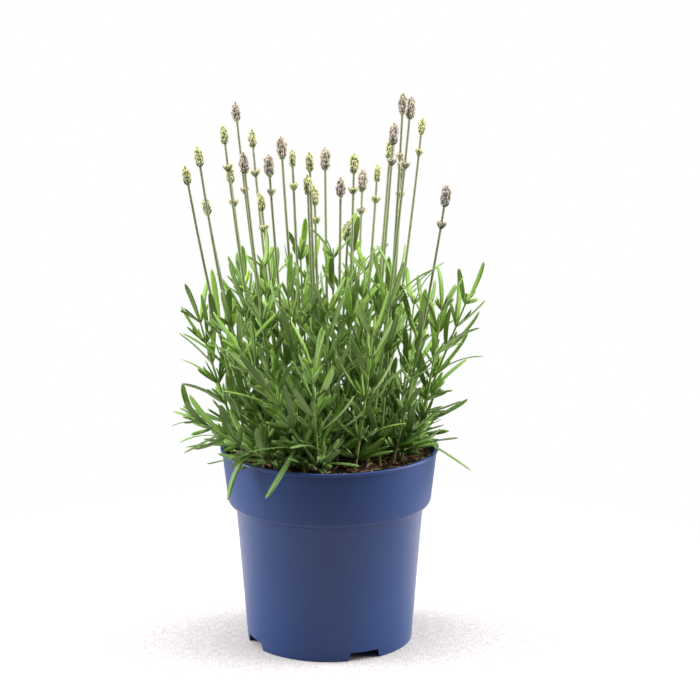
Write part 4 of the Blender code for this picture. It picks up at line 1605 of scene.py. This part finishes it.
def bud_material():
    """Felted bud cups: from yellow-green on young heads to mauve-grey on ripe ones."""
    made = Recipe("lavender bud", 0.75)
    split = made.add("ShaderNodeSeparateXYZ")
    made.join(made.map_place(), split.inputs[0])
    columns = made.sum("MULTIPLY", split.outputs[0], BUD_TONES)
    tone = made.sum("DIVIDE", made.sum("FLOOR", columns, 0), BUD_TONES - 1)
    feet = (
        (0.0, (0.300, 0.370, 0.105)),
        (0.4, (0.270, 0.315, 0.110)),
        (0.7, (0.225, 0.260, 0.105)),
        (1.0, (0.215, 0.240, 0.110)),
    )
    mouths = (
        (0.0, (0.410, 0.440, 0.170)),
        (0.4, (0.400, 0.370, 0.195)),
        (0.7, (0.330, 0.265, 0.205)),
        (1.0, (0.310, 0.225, 0.225)),
    )
    felt = made.noise(made.stretched(made.map_place(), (160, 14, 1)), 1.0, 4)
    share = made.ramp(split.outputs[1], ((0.30, 0.0), (0.80, 1.0)))
    shade = made.mix(share, made.ramp(tone, feet), made.ramp(tone, mouths))
    shade = made.mix(made.sum("MULTIPLY", felt, 0.35), shade, (0.72, 0.70, 0.66), "SOFT_LIGHT")
    # The tip of each bud darkens to near black: painted shade inside the bud's mouth
    painted_mouth_shade = made.ramp(split.outputs[1], ((0.93, 0.0), (0.99, 0.20)))
    made.colour(made.mix(painted_mouth_shade, shade, (0.060, 0.045, 0.035)))
    made.bump(felt, 0.0002, 0.5)
    made.gloss(0.25, 0.45, 0.6)
    return made.material


def pot_material():
    """Satin moulded plastic, with a faint orange-peel and a few light scuffs."""
    made = Recipe("blue pot plastic", 0.34)
    place = made.object_place()
    cloud = made.noise(place, 16, 3)
    blue = made.mix(cloud, (0.014, 0.037, 0.130), (0.019, 0.047, 0.152))
    scuffs = made.noise(made.stretched(place, (60, 60, 420)), 1.0, 5, 0.7)
    scuffed = made.ramp(scuffs, ((0.63, 0.0), (0.71, 0.45)))
    low = made.add("ShaderNodeSeparateXYZ")
    made.join(place, low.inputs[0])
    low_down = made.ramp(low.outputs[2], ((0.0, 1.0), (0.06, 0.0)))
    wear = made.sum("MULTIPLY", scuffed, low_down)
    made.colour(made.mix(wear, blue, (0.12, 0.17, 0.33)))
    peel = made.noise(place, 900, 2)
    rough = made.sum("ADD", made.sum("MULTIPLY", cloud, 0.08), 0.30)
    made.rough(made.sum("ADD", rough, made.sum("MULTIPLY", wear, 0.5)))
    made.bump(peel, 0.00006, 0.5)
    made.gloss(0.28)
    return made.material


def compost_material():
    """Moist peat: dark brown on the crumbs, and near black in the hollows, which is painted shade on
    top of the peat's own dark colour.
    """
    made = Recipe("moist compost", 0.9)
    place = made.object_place()
    crumbs = made.noise(place, 420, 6, 0.7)
    patches = made.noise(place, 60, 3)
    # The noise that raises the crumbs in the bump also picks their colour: the darkest stop, in the
    # hollows, is painted shade
    browns = (
        (0.32, (0.008, 0.005, 0.003)),
        (0.52, (0.048, 0.023, 0.011)),
        (0.72, (0.220, 0.112, 0.050)),
    )
    brown = made.ramp(crumbs, browns)
    made.colour(made.mix(made.sum("MULTIPLY", patches, 0.6), brown, (0.018, 0.012, 0.008)))
    made.rough(made.sum("ADD", made.sum("MULTIPLY", patches, 0.3), 0.65))
    made.bump(crumbs, 0.0012, 1.0)
    made.gloss(0.3)
    return made.material


def bark_material():
    """Bark and crumbs: every few millimetres another brown, some of it tan."""
    made = Recipe("bark chips", 0.85)
    place = made.object_place()
    cells = made.add("ShaderNodeTexVoronoi")
    cells.inputs["Scale"].default_value = 170
    made.join(place, cells.inputs["Vector"])
    pick = made.add("ShaderNodeSeparateColor")
    made.join(cells.outputs["Color"], pick.inputs[0])
    browns = (
        (0.00, (0.016, 0.009, 0.005)),
        (0.35, (0.070, 0.036, 0.017)),
        (0.60, (0.220, 0.120, 0.055)),
        (0.80, (0.500, 0.320, 0.160)),
        (1.00, (0.720, 0.530, 0.300)),
    )
    brown = made.ramp(pick.outputs[0], browns)
    grain = made.noise(made.stretched(place, (300, 900, 500)), 1.0, 5, 0.7)
    made.colour(made.mix(made.sum("MULTIPLY", grain, 0.5), brown, (0.024, 0.013, 0.007)))
    made.bump(grain, 0.0006, 0.9)
    made.gloss(0.3)
    return made.material


def fibre_material():
    made = Recipe("peat fibre", 0.8)
    tint = made.noise(made.object_place(), 90, 2)
    made.colour(made.ramp(tint, ((0.35, (0.110, 0.060, 0.028)), (0.65, (0.520, 0.370, 0.190)))))
    made.gloss(0.3)
    return made.material


def perlite_material():
    made = Recipe("perlite", 0.9)
    grains = made.noise(made.object_place(), 1800, 4)
    made.colour(made.ramp(grains, ((0.3, (0.420, 0.330, 0.220)), (0.7, (0.720, 0.640, 0.500)))))
    made.bump(grains, 0.0004, 0.8)
    made.gloss(0.3)
    return made.material


def floor_material():
    """A pale woven cloth that thins out into the white behind it."""
    made = Recipe("pale cloth", 0.95)
    place = made.object_place()
    warp = made.noise(made.stretched(place, (900, 160, 1)), 1.0, 2)
    weft = made.noise(made.stretched(place, (160, 900, 1)), 1.0, 2)
    weave = made.sum("MULTIPLY", made.sum("ADD", warp, weft), 0.5)
    cloth = made.ramp(weave, ((0.35, (0.400, 0.376, 0.370)), (0.65, (0.560, 0.538, 0.532))))
    made.colour(cloth)
    made.bump(weave, 0.0006, 0.5)
    made.gloss(0.15)
    far = made.add("ShaderNodeVectorMath", operation="LENGTH")
    made.join(place, far.inputs[0])
    cover = made.ramp(far.outputs["Value"], ((FLOOR_FADE[0], 1.0), (FLOOR_FADE[1], 0.0)))
    made.join(cover, made.shader.inputs["Alpha"])
    return made.material


# ---- Studio -------------------------------------------------------------------------------


def make_floor():
    bm = bmesh.new()
    bmesh.ops.create_circle(bm, cap_ends=True, segments=FLOOR_SIDES, radius=FLOOR_SIZE)
    mesh = bpy.data.meshes.new("floor")
    bm.to_mesh(mesh)
    bm.free()
    mesh.materials.append(floor_material())
    floor = bpy.data.objects.new("floor", mesh)
    bpy.context.scene.collection.objects.link(floor)


def add_softbox(name, place, target, size, power):
    light = bpy.data.lights.new(name, "AREA")
    light.shape = "RECTANGLE"
    light.size, light.size_y = size
    light.energy = power
    lamp = bpy.data.objects.new(name, light)
    lamp.location = place
    lamp.rotation_euler = (Vector(target) - Vector(place)).to_track_quat("-Z", "Y").to_euler()
    bpy.context.scene.collection.objects.link(lamp)


def light_studio():
    """Two tall softboxes to the sides, one overhead, and a surround that is dark in front."""
    across, deep, height = SIDE_PLACE
    for name, side in (("left softbox", -1), ("right softbox", 1)):
        add_softbox(name, (across * side, deep, height), SIDE_TARGET, SIDE_SIZE, SIDE_POWER)
    add_softbox("overhead softbox", OVERHEAD_PLACE, OVERHEAD_TARGET, OVERHEAD_SIZE, OVERHEAD_POWER)
    world = bpy.data.worlds.new("white surround")
    bpy.context.scene.world = world
    world.use_nodes = True
    nodes = world.node_tree.nodes
    links = world.node_tree.links
    surround = nodes["Background"]
    surround.inputs["Color"].default_value = (1, 1, 1, 1)
    way = nodes.new("ShaderNodeTexCoord")
    split = nodes.new("ShaderNodeSeparateXYZ")
    links.new(way.outputs["Generated"], split.inputs[0])
    level = nodes.new("ShaderNodeMapRange")
    level.inputs["From Min"].default_value = SURROUND_TURN[0]
    level.inputs["From Max"].default_value = SURROUND_TURN[1]
    level.inputs["To Min"].default_value = SURROUND_IN_FRONT
    level.inputs["To Max"].default_value = SURROUND_BEHIND
    links.new(split.outputs[1], level.inputs["Value"])
    links.new(level.outputs[0], surround.inputs["Strength"])
    backdrop = nodes.new("ShaderNodeBackground")
    backdrop.inputs["Color"].default_value = (1, 1, 1, 1)
    backdrop.inputs["Strength"].default_value = 1.0
    seen = nodes.new("ShaderNodeLightPath")
    choose = nodes.new("ShaderNodeMixShader")
    links.new(seen.outputs["Is Camera Ray"], choose.inputs[0])
    links.new(surround.outputs[0], choose.inputs[1])
    links.new(backdrop.outputs[0], choose.inputs[2])
    links.new(choose.outputs[0], nodes["World Output"].inputs["Surface"])


def set_camera():
    """The camera looks a little down on the rim, from the front."""
    camera = bpy.data.cameras.new("camera")
    camera.lens = LENS
    camera.sensor_width = SENSOR_WIDTH
    camera.clip_start = NEAREST_SEEN
    camera.clip_end = FURTHEST_SEEN
    eye = bpy.data.objects.new("camera", camera)
    eye.location = CAMERA_PLACE
    eye.rotation_euler = (math.pi / 2 - CAMERA_LOOKS_DOWN, 0, 0)
    bpy.context.scene.collection.objects.link(eye)
    bpy.context.scene.camera = eye
    bpy.context.scene.view_settings.view_transform = "Standard"


# ---- Putting it together ------------------------------------------------------------------


def make_plant():
    shoots = grow_plant()
    leaf = leaf_material()
    bud = bud_material()
    flower_green = stem_material("flower stem green", FLOWER_STEM_STOPS, 0.05)
    shoot_green = stem_material("shoot green", SHOOT_STEM_STOPS, 0.02)
    blades = {}
    for tone in range(LEAF_TONES):
        blades["leaf", tone] = make_blade(BLADE_COLUMNS, BLADE_ROWS, tone)
        blades["young", tone] = make_blade(YOUNG_COLUMNS, YOUNG_ROWS, tone)
    shapes = {("bud", tone): make_bud(tone) for tone in range(BUD_TONES)}
    shapes["bract"] = make_blade(YOUNG_COLUMNS, YOUNG_ROWS, BRACT_TONE)
    for shoot in shoots:
        make_leaves(shoot, blades, leaf)
    flowering = [shoot for shoot in shoots if shoot.head]
    for number, shoot in enumerate(flowering):
        make_head(shoot, number + 1 in RIPE_HEADS, shapes, [bud])
    for kind, green in (("flower", flower_green), ("leafy", shoot_green), ("low", shoot_green)):
        stems = [shoot for shoot in shoots if shoot.name.startswith(kind)]
        make_stems(kind + "_stalks", stems, green)
    for mesh in set(blades.values()) | set(shapes.values()):
        bpy.data.meshes.remove(mesh)


def main():
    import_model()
    set_camera()
    make_pot(pot_material())
    make_compost_body(compost_material())
    make_crumbs([bark_material(), fibre_material(), perlite_material()])
    make_plant()
    make_floor()
    light_studio()


main()
